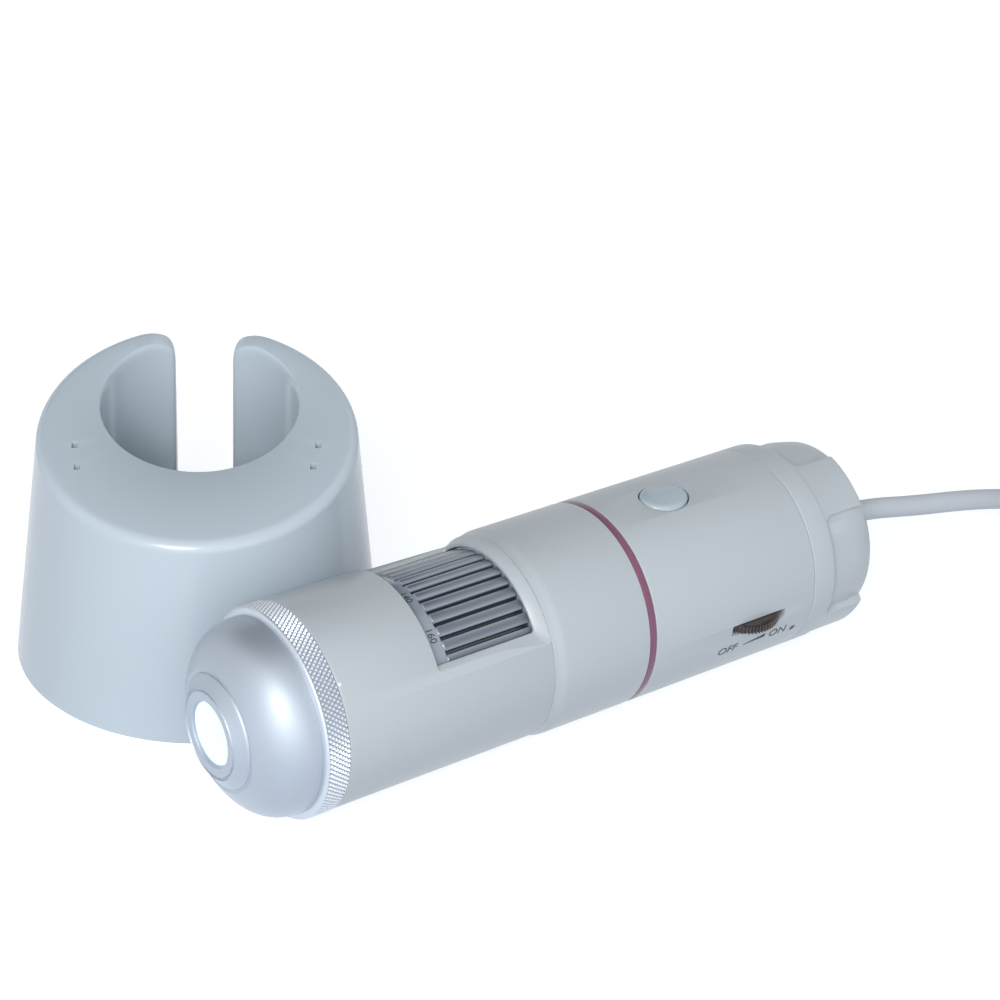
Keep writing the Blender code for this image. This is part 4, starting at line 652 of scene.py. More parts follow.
# %% Nose cone
NOSE_BASE = -4.5
NOSE_BASE_RADIUS = 16.0
NOSE_DOME_LENGTH = 10.9
BLUNT_INNER = 1.7
BLUNT_OUTER = 2.47
BOSS_RADIUS = 9.5
NOSE_FACE = -14.604
DOME_STEPS = 40


def dome_station(radius):
    """Station of the dome's surface at a radius."""
    share = radius / NOSE_BASE_RADIUS
    return NOSE_BASE - NOSE_DOME_LENGTH * (1.0 - share ** BLUNT_INNER) ** (1 / BLUNT_OUTER)


crease = dome_station(BOSS_RADIUS + 0.4)
outline = [(-13.0, 5.4), (NOSE_FACE + 0.2, 5.4)]
outline += rounding(NOSE_FACE + 0.2, 5.6, 0.2, 270.0, 180.0, 3)
outline += [(NOSE_FACE, 6.9), (NOSE_FACE + 0.28, 7.08)]
outline += [(NOSE_FACE + 0.28, 7.22), (NOSE_FACE, 7.4)]
outline += rounding(crease + 0.38, 8.72, 0.75, 152.0, 78.0, 8)
outline += rounding(crease + 0.34, BOSS_RADIUS + 0.02, 0.2, 250.0, 110.0, 6)[1:-1]
dome_start = asin((BOSS_RADIUS + 0.55) / NOSE_BASE_RADIUS)
for step in range(DOME_STEPS + 1):
    angle = dome_start + (QUARTER - dome_start) * step / DOME_STEPS
    radius = NOSE_BASE_RADIUS * sin(angle)
    outline.append((dome_station(radius), radius))
outline += [(-4.22, 16.02), (-4.22, 15.2), (-9.0, 13.4), (-11.5, 10.5), (-12.6, 7.0)]
outline += [(-13.0, 5.4)]
settle(turned("nose_shell", outline), silver_paint, "silver", "nose_cone")

# %% Light window
WINDOW_FACE = NOSE_FACE + 0.3
outline = [(WINDOW_FACE - 0.2, 0.0), (WINDOW_FACE - 0.17, 2.0), (WINDOW_FACE - 0.1, 3.6)]
outline += [(WINDOW_FACE, 4.7), (WINDOW_FACE + 0.15, 5.05), (WINDOW_FACE + 0.4, 5.1)]
outline += [(-12.75, 5.1), (-12.75, 6.1), (-11.9, 6.1), (-11.9, 0.0)]
settle(turned("window_disc", outline, 96), lit_window, "lit", "light_window")

# %% [markdown]
# ## Knurled ring
#
# A knurl is two sets of spiral grooves that cross, and what is left between them are small
# pyramids. It starts as a circle with two points for each pyramid and is pulled along in short
# rows. In a chessboard order every second point is then drawn towards the axis. The short diagonals
# of the faces are now the grooves, so splitting the faces there gives true pyramids. A turned band
# with a smooth bright lip carries them.

# %% Band under the knurl
LIP_STEPS = 8
outline = [(-4.2, 14.9)]
for step in range(LIP_STEPS + 1):
    turn = QUARTER * step / LIP_STEPS
    outline.append((-3.72 - 0.48 * cos(turn), 16.05 + 1.12 * sin(turn)))
outline += [(-3.66, 17.1), (-3.66, 16.3), (-0.14, 16.3), (-0.14, 16.96)]
outline += [(-0.02, 16.9), (-0.02, 14.9), (-4.2, 14.9)]
settle(turned("grip_ring", outline), ring_silver, "ring", "knurled_ring")


# %% A ring pulled from a circle
def ring_front(station):
    return BARREL_ORIGIN + Vector((station, 0.0, 0.0)) * MM


def pulled(name, count, station, profile):
    """Pull a circle along the barrel through rows of a length and a radius, and close it."""
    front = ring_front(station)
    ring = started(
        name,
        bpy.ops.mesh.primitive_circle_add,
        vertices=count,
        radius=profile[0][1] * MM,
        location=front,
        rotation=(0.0, QUARTER, 0.0),
    )
    open_all(ring)
    for (_, before), (length, after) in zip(profile, profile[1:]):
        move = {"value": (length * MM, 0.0, 0.0)}
        bpy.ops.mesh.extrude_edges_move(TRANSFORM_OT_translate=move)
        grow = after / before
        bpy.ops.transform.resize(value=(1.0, grow, grow), center_override=front)
    close_up()
    return ring


KNURL_POINTS = 248
KNURL_ROWS = 7
KNURL_START = -3.72
KNURL_LENGTH = 3.6
KNURL_CREST = 17.3
KNURL_FOOT = 16.2
row_length = KNURL_LENGTH / KNURL_ROWS
profile = [(0.0, KNURL_CREST)] + [(row_length, KNURL_CREST)] * KNURL_ROWS
profile += [(0.0, KNURL_FOOT), (-KNURL_LENGTH, KNURL_FOOT), (0.0, KNURL_CREST)]
knurl = pulled("knurl", KNURL_POINTS, KNURL_START, profile)
print("knurl rows:", KNURL_ROWS, "points in a row:", KNURL_POINTS)


# %% Choose parts of a mesh by a test
def choose(piece, kind, test):
    """Select only the vertices, edges or faces whose corner points pass a test."""
    bpy.context.view_layer.objects.active = piece
    bpy.ops.object.mode_set(mode="EDIT")
    bpy.ops.mesh.select_mode(type=kind)
    bpy.ops.mesh.select_all(action="DESELECT")
    leave()
    mesh = piece.data
    if kind == "VERT":
        for point in mesh.vertices:
            point.select = test([point.co])
    else:
        for part in mesh.edges if kind == "EDGE" else mesh.polygons:
            part.select = test([mesh.vertices[i].co for i in part.vertices])
    bpy.ops.object.mode_set(mode="EDIT")


def in_groove(corners):
    """Every second point of the knurl, in a chessboard order."""
    spot = corners[0] - ring_front(KNURL_START)
    if hypot(spot.y, spot.z) < (KNURL_CREST - 0.1) * MM:
        return False
    row = round(spot.x / (row_length * MM))
    column = round(atan2(spot.y, spot.z) / tau * KNURL_POINTS)
    return (row + column) % 2 == 0


def on_crest(corners):
    """The tips of the pyramids, without the two edges of the ring."""
    spot = corners[0] - ring_front(KNURL_START)
    inside = 0.1 * MM < spot.x < (KNURL_LENGTH - 0.1) * MM
    return inside and hypot(spot.y, spot.z) > (KNURL_CREST - 0.05) * MM


def draw_in(piece, test, share, station):
    """Scale the chosen points of a piece towards the barrel's line."""
    choose(piece, "VERT", test)
    bpy.ops.transform.resize(value=(1.0, share, share), center_override=ring_front(station))


# %% Sink the grooves and blunt the pyramids
KNURL_DEPTH = 0.36
KNURL_BLUNT = 0.15
draw_in(knurl, in_groove, (KNURL_CREST - KNURL_DEPTH) / KNURL_CREST, KNURL_START)
bpy.ops.mesh.select_all(action="SELECT")
bpy.ops.mesh.quads_convert_to_tris(quad_method="SHORTEST_DIAGONAL")
choose(knurl, "VERT", on_crest)
bpy.ops.mesh.bevel(offset=KNURL_BLUNT * MM, affect="VERTICES")
leave()
settle(knurl, knurl_silver_painted_shade, "ring", angle=20.0)

# %% [markdown]
# ## Barrel shells
#
# Three shells and the rear cap make the barrel. Each is turned with small rounded edges, because a
# moulded edge is never sharp and the round catches a line of light. Openings come after that, with
# a Boolean modifier and a cutting tool. The tools that follow the barrel are blocks bent round it:
# a cube is stretched to its flat size, its upright edges are bevelled, it is sliced with Bisect,
# and each of its points is laid on the cylinder.

# %% Cutting tools
def apply_modifier(piece, kind, **settings):
    """Add a modifier to a piece, set it and apply it."""
    pick(piece)
    modifier = piece.modifiers.new(kind.lower(), kind)
    for key, value in settings.items():
        setattr(modifier, key, value)
    bpy.ops.object.modifier_apply(modifier=modifier.name)


def cut_away(piece, tool):
    """Take a tool's shape out of a piece and throw the tool away."""
    apply_modifier(piece, "BOOLEAN", operation="DIFFERENCE", solver="EXACT", object=tool)
    bpy.data.objects.remove(tool, do_unlink=True)


def soften(piece, width, angle=38.0, segments=2):
    """Round every sharp edge of a piece by a hair."""
    limit = {"limit_method": "ANGLE", "angle_limit": radians(angle)}
    apply_modifier(piece, "BEVEL", width=width * MM, segments=segments, **limit)


def slice_along(place, normal):
    """Slice what is open in edit mode along a plane."""
    bpy.ops.mesh.select_all(action="SELECT")
    bpy.ops.mesh.bisect(plane_co=place, plane_no=normal)


def flat_block(start, end, half_arc, low, top, corner, slices):
    """A block in stations, arc lengths and radii, with round upright edges and slices."""
    block = started(
        "tool",
        bpy.ops.mesh.primitive_cube_add,
        size=MM,
        location=Vector((start + end, 0.0, low + top)) * 0.5 * MM,
        scale=(end - start, 2 * half_arc, top - low),
    )
    upright = (top - low) * MM / 2
    choose(block, "EDGE", lambda corners: abs(corners[0].z - corners[1].z) > upright)
    bpy.ops.mesh.bevel(offset=corner * MM, segments=5, profile=0.5, affect="EDGES")
    for i in range(1, slices):
        slice_along((0.0, (2 * i / slices - 1) * half_arc * MM, 0.0), (0.0, 1.0, 0.0))
    leave()
    return block


def wrap(piece, angle, radius):
    """Lay a flat piece on the barrel. Its arc lengths hold at the given radius."""
    for point in piece.data.vertices:
        station, arc, height = point.co
        point.co = on_barrel(station, angle + degrees(arc / (radius * MM)), height)


print("tools are ready")

# %% Front barrel
FRONT_END = 38.46
outline = [(0.1, 15.1), (0.1, 16.85)]
outline += rounding(0.35, 16.85, 0.25, 180.0, 90.0, 4)
outline += rounding(FRONT_END - 0.08, 17.02, 0.08, 90.0, 0.0, 2)
outline += [(FRONT_END, 15.7), (17.6, 15.7), (17.6, 15.1), (0.1, 15.1)]
front_barrel = turned("front_shell", outline, 288)
print("front shell:", len(front_barrel.data.polygons), "faces")

# %% Opening over the focus wheel
OPENING_START = 17.6
OPENING_END = 36.5
OPENING_TOP = 19.1
OPENING_HALF = radians(51.5) * OPENING_TOP
BEVEL_FOOT = 16.2
SIDE_FLARE = 0.9
SIDE_FLARE_GROWTH = 1.1
REAR_FLARE = 1.6
FRONT_FLARE = 0.2
opening = flat_block(OPENING_START, OPENING_END, OPENING_HALF, 14.0, OPENING_TOP, 0.7, 26)
open_all(opening)
slice_along((0.0, 0.0, BEVEL_FOOT * MM), (0.0, 0.0, 1.0))
leave()
spread = (OPENING_TOP - BEVEL_FOOT) / (FRONT_RADIUS - BEVEL_FOOT)
for point in opening.data.vertices:
    if point.co.z < (OPENING_TOP - 0.01) * MM:
        continue
    along = (point.co.x / MM - OPENING_START) / (OPENING_END - OPENING_START)
    flare = SIDE_FLARE + SIDE_FLARE_GROWTH * along
    point.co.y *= 1.0 + flare * spread / OPENING_HALF
    if along > 0.5:
        point.co.x += REAR_FLARE * spread * (2.0 * along - 1.0) * MM
    else:
        point.co.x -= FRONT_FLARE * spread * MM
wrap(opening, 90.0, OPENING_TOP)
cut_away(front_barrel, opening)
soften(front_barrel, 0.1)
settle(front_barrel, barrel_plastic, "grey", "front_barrel")

# %% Middle barrel with its rounded shoulder
MIDDLE_START = 38.52
SHOULDER_STEPS = 12
outline = [(37.1, 12.0), (37.1, 15.4), (38.49, 15.4)]
outline += [(MIDDLE_START, 16.95), (MIDDLE_START + 0.06, 17.05)]
for step in range(SHOULDER_STEPS + 1):
    share = step / SHOULDER_STEPS
    ease = share * share * (3.0 - 2.0 * share)
    outline.append((MIDDLE_START + 0.15 + 2.3 * share, 17.09 + 0.41 * ease))
outline += rounding(57.24, 17.28, 0.22, 90.0, 0.0, 4)
outline += [(57.46, 16.1), (40.0, 16.1), (40.0, 12.0), (37.1, 12.0)]
settle(turned("middle_shell", outline, 288), barrel_plastic, "grey", "middle_barrel")

# %% Mauve ring
outline = [(57.52, 16.2), (57.52, 17.25)]
outline += rounding(57.64, 17.3, 0.12, 180.0, 90.0, 3)
outline += rounding(58.66, 17.3, 0.12, 90.0, 0.0, 3)
outline += [(58.78, 16.2), (57.52, 16.2)]
settle(turned("mauve_band", outline), mauve_plastic, "mauve", "accent_ring")

# %% [markdown]
# ## Rear barrel, button and dial
#
# The rear shell has an oval hole for the button on top and a slot for the dial on the side. The
# button is a low oval with a crowned face: a cylinder is stretched to the oval, and its top is
# inset and raised in small steps. The dial is a disc with fine teeth: the points between two teeth
# are chosen all round and drawn in together, and the rims are bevelled.

# %% Rear shell
outline = [(54.2, 15.8), (58.84, 15.8), (58.84, 17.28)]
outline += rounding(59.06, 17.28, 0.22, 180.0, 90.0, 4)
outline += rounding(92.6, 17.28, 0.22, 90.0, 0.0, 4)
outline += [(92.82, 16.1), (60.0, 16.1), (60.0, 14.6), (54.2, 14.6), (54.2, 15.8)]
rear_barrel = turned("rear_shell", outline, 288)
print("rear shell:", len(rear_barrel.data.polygons), "faces")

# %% Button hole and dial slot
BUTTON_AXES = (4.3, 3.6)
BUTTON_GAP = 0.26
DIAL_STATION = 80.8
SLOT_HALF_LENGTH = 5.7


def upright_oval(name, middle, depth, gap):
    """An oval cylinder at the button's place, about a radius of the barrel."""
    return started(
        name,
        bpy.ops.mesh.primitive_cylinder_add,
        vertices=96,
        radius=MM,
        depth=depth * MM,
        location=on_barrel(BUTTON_STATION * MM, 90.0, middle * MM),
        rotation=(BARREL_ROLL, 0.0, 0.0),
        scale=(BUTTON_AXES[0] + gap, BUTTON_AXES[1] + gap, 1.0),
    )


cut_away(rear_barrel, upright_oval("tool", 17.0, 5.0, BUTTON_GAP))
slot_ends = DIAL_STATION - SLOT_HALF_LENGTH, DIAL_STATION + SLOT_HALF_LENGTH
slot_tool = flat_block(*slot_ends, 1.05, 14.0, 19.0, 0.35, 4)
wrap(slot_tool, -1.1, BODY_RADIUS)
cut_away(rear_barrel, slot_tool)
soften(rear_barrel, 0.13)
settle(rear_barrel, barrel_plastic, "grey", "rear_barrel")

# %% Snapshot button
BUTTON_CROWN = (
    (0.12, 0.22), (0.16, 0.16), (0.25, 0.13), (0.4, 0.1), (0.6, 0.08), (0.8, 0.05), (0.8, 0.02)
)
button = upright_oval("button_cap", 15.75, 3.0, 0.0)
up = (on_barrel(0.0, 90.0, MM) - on_barrel(0.0, 90.0, 0.0)) / MM


def on_button_face(corners):
    lowest = min((corner - BARREL_ORIGIN).dot(up) for corner in corners)
    return len(corners) > 4 and lowest > 16.0 * MM


choose(button, "FACE", on_button_face)
for width, rise in BUTTON_CROWN:
    bpy.ops.mesh.inset(thickness=width * MM, depth=0.0)
    bpy.ops.transform.translate(value=Vector(up) * rise * MM)
leave()
settle(button, button_plastic, "grey", "snapshot_button", body="snapshot_button")

# %% Brightness dial
DIAL_TEETH = 68
DIAL_RADIUS = 6.65
DIAL_THICKNESS = 1.55
DIAL_OFFSET = 12.7
DIAL_RISE = -0.33
TOOTH_DEPTH = 0.42
TOOTH_POINTS = 4
dial_points = DIAL_TEETH * TOOTH_POINTS
dial = started(
    "toothed_dial",
    bpy.ops.mesh.primitive_cylinder_add,
    vertices=dial_points,
    radius=DIAL_RADIUS * MM,
    depth=DIAL_THICKNESS * MM,
)


def between_teeth(corners):
    turn = atan2(corners[0].y, corners[0].x) / tau
    return round(turn * dial_points) % TOOTH_POINTS in (2, 3)


choose(dial, "VERT", between_teeth)
drawn = 1.0 - TOOTH_DEPTH / DIAL_RADIUS
bpy.ops.transform.resize(value=(drawn, drawn, 1.0))
choose(dial, "EDGE", lambda corners: abs(corners[0].z - corners[1].z) < 0.1 * MM)
bpy.ops.mesh.bevel(offset=0.11 * MM, segments=2, affect="EDGES")
leave()
dial.location = on_barrel(DIAL_STATION * MM, 0.0, DIAL_OFFSET * MM) + Vector(up) * DIAL_RISE * MM
dial.rotation_euler = (BARREL_ROLL, 0.0, 0.0)
settle(dial, dial_plastic, "black", "led_dial", body="led_dial", angle=22.0)

# %% [markdown]
# ## Rear cap and gland
#
# The cap is turned with a smooth band, a step, the long lobes and a domed end. Four blocks bent
# round the barrel then take out the pockets between the lobes, so the lobes are what is left. The
# pocket floors sink towards the rear, so that they run out into the dome. A small bevel rounds
# every edge, because the lobes are what a hand holds.

# %% Turned cap
CAP_START = 92.88
LOBE_START = 97.4
LOBE_END = 106.2
CAP_END = 109.4
DOME_EDGE = 9.6
CAP_DOME_STEPS = 16
outline = [(89.6, 15.8), (CAP_START, 15.8), (CAP_START, 17.28)]
outline += rounding(CAP_START + 0.22, 17.28, 0.22, 180.0, 90.0, 4)
outline += [(96.9, 17.5), (97.15, 17.47), (LOBE_START, 17.36), (97.7, 17.3)]
outline += rounding(LOBE_END - 0.9, 16.4, 0.9, 90.0, 12.0, 7)
for step in range(1, CAP_DOME_STEPS + 1):
    turn = QUARTER * step / CAP_DOME_STEPS
    station = LOBE_END + (CAP_END - LOBE_END) * sin(turn)
    outline.append((station, DOME_EDGE + 6.0 * cos(turn)))
outline += [(CAP_END, 6.5), (CAP_END, 3.05), (107.2, 3.05), (107.2, 8.6), (102.9, 14.6)]
outline += [(89.6, 14.6), (89.6, 15.8)]
cap = turned("lobed_cap", outline, 288)
print("cap:", len(cap.data.polygons), "faces")

# %% Pockets between the lobes
POCKET_END = 112.0
POCKET_FLOOR = 16.2
POCKET_TOP = 19.5
POCKET_FALL = 0.6
POCKETS = ((14.5, 63.0), (114.5, 69.0), (204.5, 43.0), (284.5, 49.0))
bend = LOBE_START + (LOBE_END - LOBE_START) * 2 / 3
for angle, span in POCKETS:
    half_arc = radians(span) / 2 * POCKET_TOP
    pocket = flat_block(LOBE_START, POCKET_END, half_arc, POCKET_FLOOR, POCKET_TOP, 1.6, 14)
    open_all(pocket)
    slice_along((bend * MM, 0.0, 0.0), (1.0, 0.0, 0.0))
    leave()
    for point in pocket.data.vertices:
        past = point.co.x / MM - bend
        if past > 0.001 and point.co.z < (POCKET_FLOOR + 0.01) * MM:
            point.co.z -= POCKET_FALL * past / (LOBE_END - bend) * MM
    wrap(pocket, angle, POCKET_TOP)
    cut_away(cap, pocket)
soften(cap, 0.22, segments=3)
settle(cap, barrel_plastic, "grey", "rear_cap")

# %% Rubber gland
GLAND_RIDGES = 4
RIDGE_PITCH = 0.72
RIDGE_FALL = 0.13
outline = [(105.4, 0.0), (105.4, 4.1), (106.9, 4.1), (106.9, 2.72), (110.15, 2.72)]
for ridge in range(GLAND_RIDGES):
    station = 110.2 + RIDGE_PITCH * ridge
    radius = 2.95 - RIDGE_FALL * ridge
    outline += [(station + 0.08, radius), (station + 0.42, radius - 0.04)]
    outline += [(station + 0.55, radius - 0.35)]
outline += rounding(113.2, 2.02, 0.3, 90.0, 0.0, 4)
outline += [(113.5, 0.0)]
settle(turned("lead_gland", outline, 96), rubber, "cord", "cable_gland")

# %% [markdown]
# ## Focus wheel
#
# The wheel is a hollow ring with forty ribs, and a smooth flange with numbers at its front. It
# starts as one circle with sixteen points to each rib, pulled along the barrel. Sixteen times, the
# same point of every rib is then chosen and scaled towards the axis, by an amount that gives low
# crowned ribs with narrow grooves. Scaling all ribs at once keeps them equal.

# %% Ring of the wheel
WHEEL_RIBS = 40
RIB_POINTS = 16
WHEEL_START = 17.95
RIBS_START = 20.9
WHEEL_END = 36.8
WHEEL_CREST = 15.4
FLANGE_FRONT = 15.0
FLANGE_RADIUS = 15.1
WHEEL_BORE = 11.4
profile = [(0.0, FLANGE_FRONT), (0.2, FLANGE_RADIUS), (2.45, FLANGE_RADIUS)]
profile += [(0.12, WHEEL_CREST - 0.22), (0.18, WHEEL_CREST)]
profile += [(WHEEL_END - RIBS_START - 0.45, WHEEL_CREST)]
profile += [(0.3, WHEEL_CREST - 0.1), (0.15, WHEEL_CREST - 0.4), (0.0, WHEEL_BORE)]
profile += [(WHEEL_START - WHEEL_END, WHEEL_BORE), (0.0, FLANGE_FRONT)]
wheel = pulled("ribbed_wheel", WHEEL_RIBS * RIB_POINTS, WHEEL_START, profile)
print("wheel points:", len(wheel.data.vertices))

# %% Ribs of the wheel
FLANGE_LENGTH = 2.65
GROOVE_MIDDLE = 0.85
GROOVE_HALF = 0.15
GROOVE_FLANK = 0.075
GROOVE_DEPTH = 0.85
RIB_MIDDLE = 0.35
RIB_CROWN = 0.3


def rib_place(spot):
    """Which of the points of its rib a point is, or none off the ribs."""
    spot = spot - ring_front(WHEEL_START)
    on_ribs = spot.x >= (FLANGE_LENGTH + 0.07) * MM
    if not on_ribs or hypot(spot.y, spot.z) < (WHEEL_BORE + 1.0) * MM:
        return None
    turn = atan2(spot.z, -spot.y) + BARREL_ROLL
    return round(turn / tau * WHEEL_RIBS * RIB_POINTS) % RIB_POINTS


for place in range(RIB_POINTS):
    share = place / RIB_POINTS
    edge = clamp((GROOVE_HALF - abs(share - GROOVE_MIDDLE)) / GROOVE_FLANK)
    crown = RIB_CROWN * ((share - RIB_MIDDLE) / RIB_MIDDLE) ** 2 * (1.0 - edge)
    sunk = GROOVE_DEPTH * edge * edge * (3.0 - 2.0 * edge) + crown
    left = 1.0 - sunk / WHEEL_CREST
    draw_in(wheel, lambda corners: rib_place(corners[0]) == place, left, WHEEL_START)
flange_end = ring_front(WHEEL_START + FLANGE_LENGTH).x
choose(wheel, "EDGE", lambda corners: all(abs(c.x - flange_end) < 0.01 * MM for c in corners))
bpy.ops.mesh.mark_sharp()
leave()
settle(wheel, wheel_plastic, "wheel", "focus_wheel", body="focus_wheel", angle=40.0)

# %% [markdown]
# ## Stand
#
# The stand is a cone with a slanted top, an off-centre bore and a slot, so from above it is a thick
# C. Its outline is one closed row of points: round the outside, round the tip of one horn, along
# the slot and back through the bore. A circle with that many points is filled and extruded once for
# each level, and every row of points is then laid on the outline of its level. The levels near the
# top draw in along a quarter round, which gives the soft upper edge that carries the highlight.

# %% Outline of the stand
STAND_BASE = 31.0
STAND_TAPER = 0.107
STAND_HEIGHT = 42.1
STAND_SLANT = 0.247
BORE_RADIUS = 16.3
BORE_OFFSET = 6.1
OUTSIDE_STEPS = 180
BORE_STEPS = 120
CORNER_STEPS = 8
INNER_SHARE = 0.25


def corner_points(centre, first, last, start, end):
    """Points round a corner whose radius changes from the first to the last."""
    points = []
    for i in range(CORNER_STEPS + 1):
        share = i / CORNER_STEPS
        turn = start + (end - start) * share
        radius = first + (last - first) * share
        points.append(centre + radius * Vector((cos(turn), sin(turn))))
    return points


def crowded(share):
    """Move the steps of an open outline nearer to its two ends."""
    return share - 0.4 * sin(tau * share) / tau


def stand_outline(height, inset, wall, half, outer_round, inner_round, slanted):
    """The C-shaped outline at one height, with its slot open towards +Y."""

    def outside(angle):
        rise = STAND_TAPER * STAND_SLANT * sin(angle) if slanted else 0.0
        return (STAND_BASE - STAND_TAPER * height) / (1.0 + rise)

    inner_inset = inset * INNER_SHARE
    reach = outside(QUARTER) - wall - outer_round
    horn = Vector((half + outer_round, sqrt(reach ** 2 - (half + outer_round) ** 2)))
    tip = atan2(horn.y, horn.x)
    reach = BORE_RADIUS + wall + inner_round
    rise = sqrt(reach ** 2 - (half + inner_round) ** 2)
    heel = Vector((half + inner_round, BORE_OFFSET + rise))
    foot = atan2(rise, heel.x)
    bore = BORE_RADIUS + wall + inner_inset
    points = []
    for i in range(OUTSIDE_STEPS + 1):
        angle = tip + (2 * (QUARTER - tip) - tau) * crowded(i / OUTSIDE_STEPS)
        radius = outside(angle) - wall - inset
        points.append(radius * Vector((cos(angle), sin(angle))))
    near, far = outer_round - inset, outer_round - inner_inset
    left_horn = Vector((-horn.x, horn.y))
    points += corner_points(left_horn, near, far, pi - tip, 0.0)[1:]
    small = inner_round - inner_inset
    points += corner_points(Vector((-heel.x, heel.y)), small, small, 0.0, -foot)
    for i in range(1, BORE_STEPS):
        angle = pi - foot + (pi + 2 * foot) * crowded(i / BORE_STEPS)
        side = bore * Vector((cos(angle), sin(angle)))
        points.append(Vector((0.0, BORE_OFFSET)) + side)
    points += corner_points(heel, small, small, foot - pi, -pi)
    points += corner_points(horn, far, near, pi, tip)[:-1]
    return points


print("the stand's outline is ready")

# %% Levels of the stand
SLOT_HALF = 4.9
SHELL = (0.0, SLOT_HALF, 1.9, 0.9)
HOLLOW = (1.6, 13.2, 0.6, 0.6)
TOP_WALL = 2.2
FOOT_ROUND = 0.4
EDGE_ROUND = 1.8
EDGE_STEPS = 7
rows = [(STAND_HEIGHT - TOP_WALL, 0.0, 0.0, HOLLOW, True), (0.0, 0.0, 0.0, HOLLOW, False)]
rows += [(0.0, FOOT_ROUND, 0.0, SHELL, False), (FOOT_ROUND, 0.0, 0.0, SHELL, False)]
for step in range(EDGE_STEPS + 1):
    turn = QUARTER * step / EDGE_STEPS
    inset = EDGE_ROUND * (1.0 - cos(turn))
    drop = EDGE_ROUND * (1.0 - sin(turn))
    rows.append((STAND_HEIGHT, inset, drop, SHELL, True))
levels = []
for height, inset, drop, form, slanted in rows:
    outline = stand_outline(height, inset, *form, slanted)
    levels.append([(p.x, p.y, height - drop + STAND_SLANT * p.y * slanted) for p in outline])
print("levels:", len(levels), "points in a level:", len(levels[0]))

# %% Extrude the stand level by level
circle = {"vertices": len(levels[0]), "radius": MM, "fill_type": "NGON"}
stand = started("stand_body", bpy.ops.mesh.primitive_circle_add, **circle)
open_all(stand)
for level in levels[1:]:
    bpy.ops.mesh.extrude_region_move()
leave()
every_point = [point for level in levels for point in level]
for vertex, point in zip(stand.data.vertices, every_point):
    vertex.co = Vector(point) * MM
print("stand:", len(stand.data.vertices), "points,", len(stand.data.polygons), "faces")

# %% Round the tops of the horns
HORN_ROUND = 6.2
HORN_DROP = 3.8
HORN_SLICES = 10


def on_horn_top(corners):
    lowest = min(c.z - STAND_SLANT * c.y for c in corners)
    return lowest > (STAND_HEIGHT - 0.01) * MM and min(c.y for c in corners) > 0.0


choose(stand, "FACE", lambda corners: len(corners) > 100)
bpy.ops.mesh.quads_convert_to_tris(ngon_method="BEAUTY")
for side in (-1.0, 1.0):
    for slice_number in range(1, HORN_SLICES + 1):
        turn = QUARTER * slice_number / HORN_SLICES
        near = side * (SLOT_HALF + HORN_ROUND * (1.0 - cos(turn))) * MM
        choose(stand, "FACE", on_horn_top)
        bpy.ops.mesh.bisect(plane_co=(near, 0.0, 0.0), plane_no=(1.0, 0.0, 0.0))
leave()
lowest_top = (STAND_HEIGHT - EDGE_ROUND - 0.01) * MM
for point in stand.data.vertices:
    near = (SLOT_HALF + HORN_ROUND) * MM - abs(point.co.x)
    level = point.co.z - STAND_SLANT * point.co.y
    if near <= 0.0 or point.co.y < 0.0 or level < lowest_top:
        continue
    share = min(near / (HORN_ROUND * MM), 1.0)
    point.co.z -= HORN_DROP * MM * (1.0 - sqrt(1.0 - share ** 2))
print("stand after its horns:", len(stand.data.polygons), "faces")

# %% Four small holes, and the stand's place
for x, y in ((-19.05, -9.8), (-19.8, -4.8), (19.05, -8.8), (19.8, -3.8)):
    height = STAND_HEIGHT + STAND_SLANT * y - 1.0
    box = {"size": MM, "location": Vector((x, y, height)) * MM, "scale": (1.0, 1.5, 6.0)}
    cut_away(stand, started("tool", bpy.ops.mesh.primitive_cube_add, **box))
stand.location = Vector((-35.9, 17.8124, 0.0)) * MM
stand.rotation_euler = (0.0, 0.0, radians(-32.7))
settle(stand, stand_plastic, "stand", "stand_shell", body="stand", angle=30.0)

# %% [markdown]
# ## Printed words and numbers
#
# The words beside the dial and the numbers on the wheel are printed, so they are thin films.
# Blender writes them as text, the text is made a mesh while it still lies flat, and its points are
# then laid on the barrel like the cutting tools, a few hundredths of a millimetre above it.

# %% Print on the barrel
LETTER_SIZE = 1.38
FILM = 0.03


def printed(words, height, station, angle, turn, radius):
    """A word as a thin film on the barrel, turned in its own plane by some degrees."""
    pick()
    bpy.ops.object.text_add()
    text = bpy.context.object.data
    text.body = words
    text.size = height * LETTER_SIZE * MM
    text.align_x = "CENTER"
    text.align_y = "CENTER"
    text.extrude = FILM / 2 * MM
    bpy.ops.object.convert(target="MESH")
    word = bpy.context.object
    word.rotation_euler = (0.0, 0.0, radians(turn))
    word.location = Vector((station, 0.0, radius + FILM)) * MM
    apply_place()
    wrap(word, angle, radius)
    return word


def flat_shape(points, station, angle, radius):
    """A thin flat shape from its corner places, for the small signs."""
    circle = {"vertices": len(points), "radius": MM, "fill_type": "NGON"}
    shape = started("sign", bpy.ops.mesh.primitive_circle_add, **circle)
    for vertex, (along, up_arc) in zip(shape.data.vertices, points):
        vertex.co = Vector((station + along, up_arc, radius + FILM / 3)) * MM
    open_all(shape)
    lift = {"value": (0.0, 0.0, FILM * MM)}
    bpy.ops.mesh.extrude_region_move(TRANSFORM_OT_translate=lift)
    close_up()
    wrap(shape, angle, radius)
    return shape


def joined(name, parts):
    """Make one piece of several."""
    pick(parts[0])
    for part in parts:
        part.select_set(True)
    bpy.ops.object.join()
    parts[0].name = name
    return parts[0]


def round_row(reaches):
    """Corner places round a centre, one for each reach."""
    turns = [tau * i / len(reaches) for i in range(len(reaches))]
    return [(r * cos(turn), r * sin(turn)) for r, turn in zip(reaches, turns)]


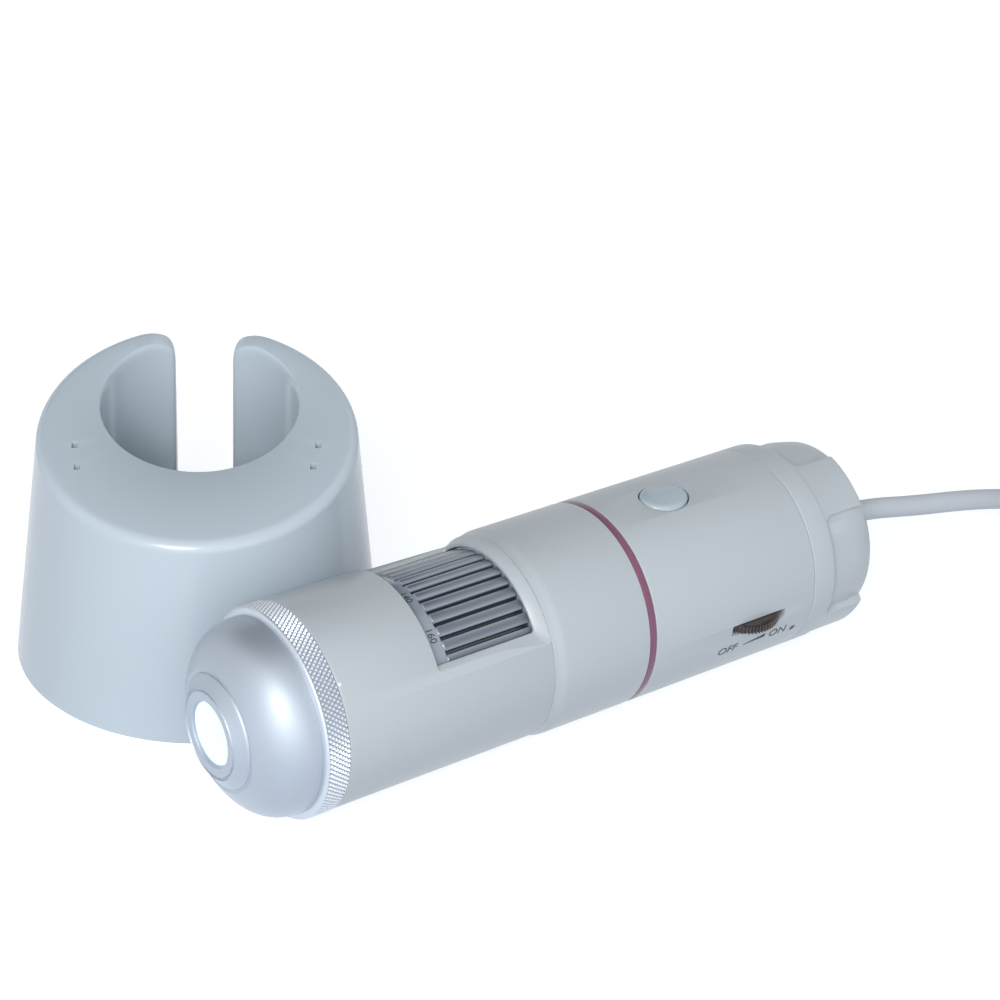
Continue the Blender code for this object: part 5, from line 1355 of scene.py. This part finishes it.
print("ready to print")

# %% Words, wedge and sun beside the dial
SUN = round_row([0.72, 0.36, 0.36, 0.36] * 8)
WEDGE = [(-2.3, -0.34), (2.3, -0.13), (2.3, 0.7), (-2.3, -0.24)]
WORD_HEIGHT = 1.75
words = [
    printed("OFF", WORD_HEIGHT, 75.3, -15.0, 0.0, BODY_RADIUS),
    printed("ON", WORD_HEIGHT, 86.2, -14.6, 0.0, BODY_RADIUS),
    flat_shape(WEDGE, 81.0, -14.4, BODY_RADIUS),
    flat_shape(SUN, 89.7, -16.3, BODY_RADIUS),
]
settle(joined("dial_words", words), print_ink, "black")

# %% Numbers on the wheel's flange
NUMBERS = ("10", "20", "40", "60", "80", "100", "120", "140", "160", "180", "200")
NUMBER_HEIGHT = 1.25
NUMBER_STATION = 19.35
NUMBER_STEP = 30.0
numbers = []
for i, number in enumerate(NUMBERS):
    angle = 56.0 + NUMBER_STEP * (8 - i)
    spot = NUMBER_STATION, angle, -90.0, FLANGE_RADIUS
    numbers.append(printed(number, NUMBER_HEIGHT, *spot))
settle(joined("wheel_numbers", numbers), print_ink, "black", body="focus_wheel")

# %% White mark on the front edge
mark = flat_shape(round_row([0.3] * 24), 0.45, 46.3, FRONT_RADIUS)
mark.name = "white_mark"
settle(mark, white_ink, "grey")

# %% [markdown]
# ## Plug and tie
#
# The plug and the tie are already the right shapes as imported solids. Each is copied, its loose
# triangles are merged, its edges are rounded with a bevel, and it is shaded smoothly.

# %% Rounded copies of the plug and the tie
COPIES = (
    ("usb_plug_grip", "plug_grip", lead_plastic, "cord", 0.3, 32.0),
    ("usb_plug_shell", "plug_shell", plug_steel, "steel", 0.1, 20.0),
    ("cable_tie", "lead_tie", dark_plastic, "dark", 0.12, 20.0),
)
for node, name, finish, slot, width, angle in COPIES:
    piece = bpy.data.objects.new(name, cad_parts[node].data.copy())
    bpy.context.scene.collection.objects.link(piece)
    pick(piece)
    open_all(piece)
    bpy.ops.mesh.remove_doubles(threshold=0.001 * MM)
    bpy.ops.mesh.dissolve_limited(angle_limit=radians(2.0))
    leave()
    soften(piece, width, angle=25.0)
    settle(piece, finish, slot, node, angle=angle)

# %% [markdown]
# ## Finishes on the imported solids
#
# Each solid that shows gets the finish that its real piece has. Only its material slots change.

# %% Give each solid its finish
FINISHES = {
    dark_plastic: ["guide_tube", "lens_barrel", "board_carrier", "tact_switch", "dimmer_pot"],
    board_mask: ["sensor_board", "main_board", "led_board"],
    lens_glass: ["objective_lens", "rear_lens"],
    led_dome: [f"led_{number}" for number in range(1, 9)],
    brass: ["lens_retainer"],
    chip_face: ["image_sensor"],
    ribbon_film: ["sensor_ribbon"],
}
for finish, names in FINISHES.items():
    for name in names:
        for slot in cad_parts[name].material_slots:
            slot.link = "OBJECT"
            slot.material = finish.material
lead.data.materials.clear()
lead.data.materials.append(lead_plastic.material)
print("finished solids:", sum(map(len, FINISHES.values())), "of", len(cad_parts))

# %% Bring the scene up to date
bpy.context.view_layer.update()
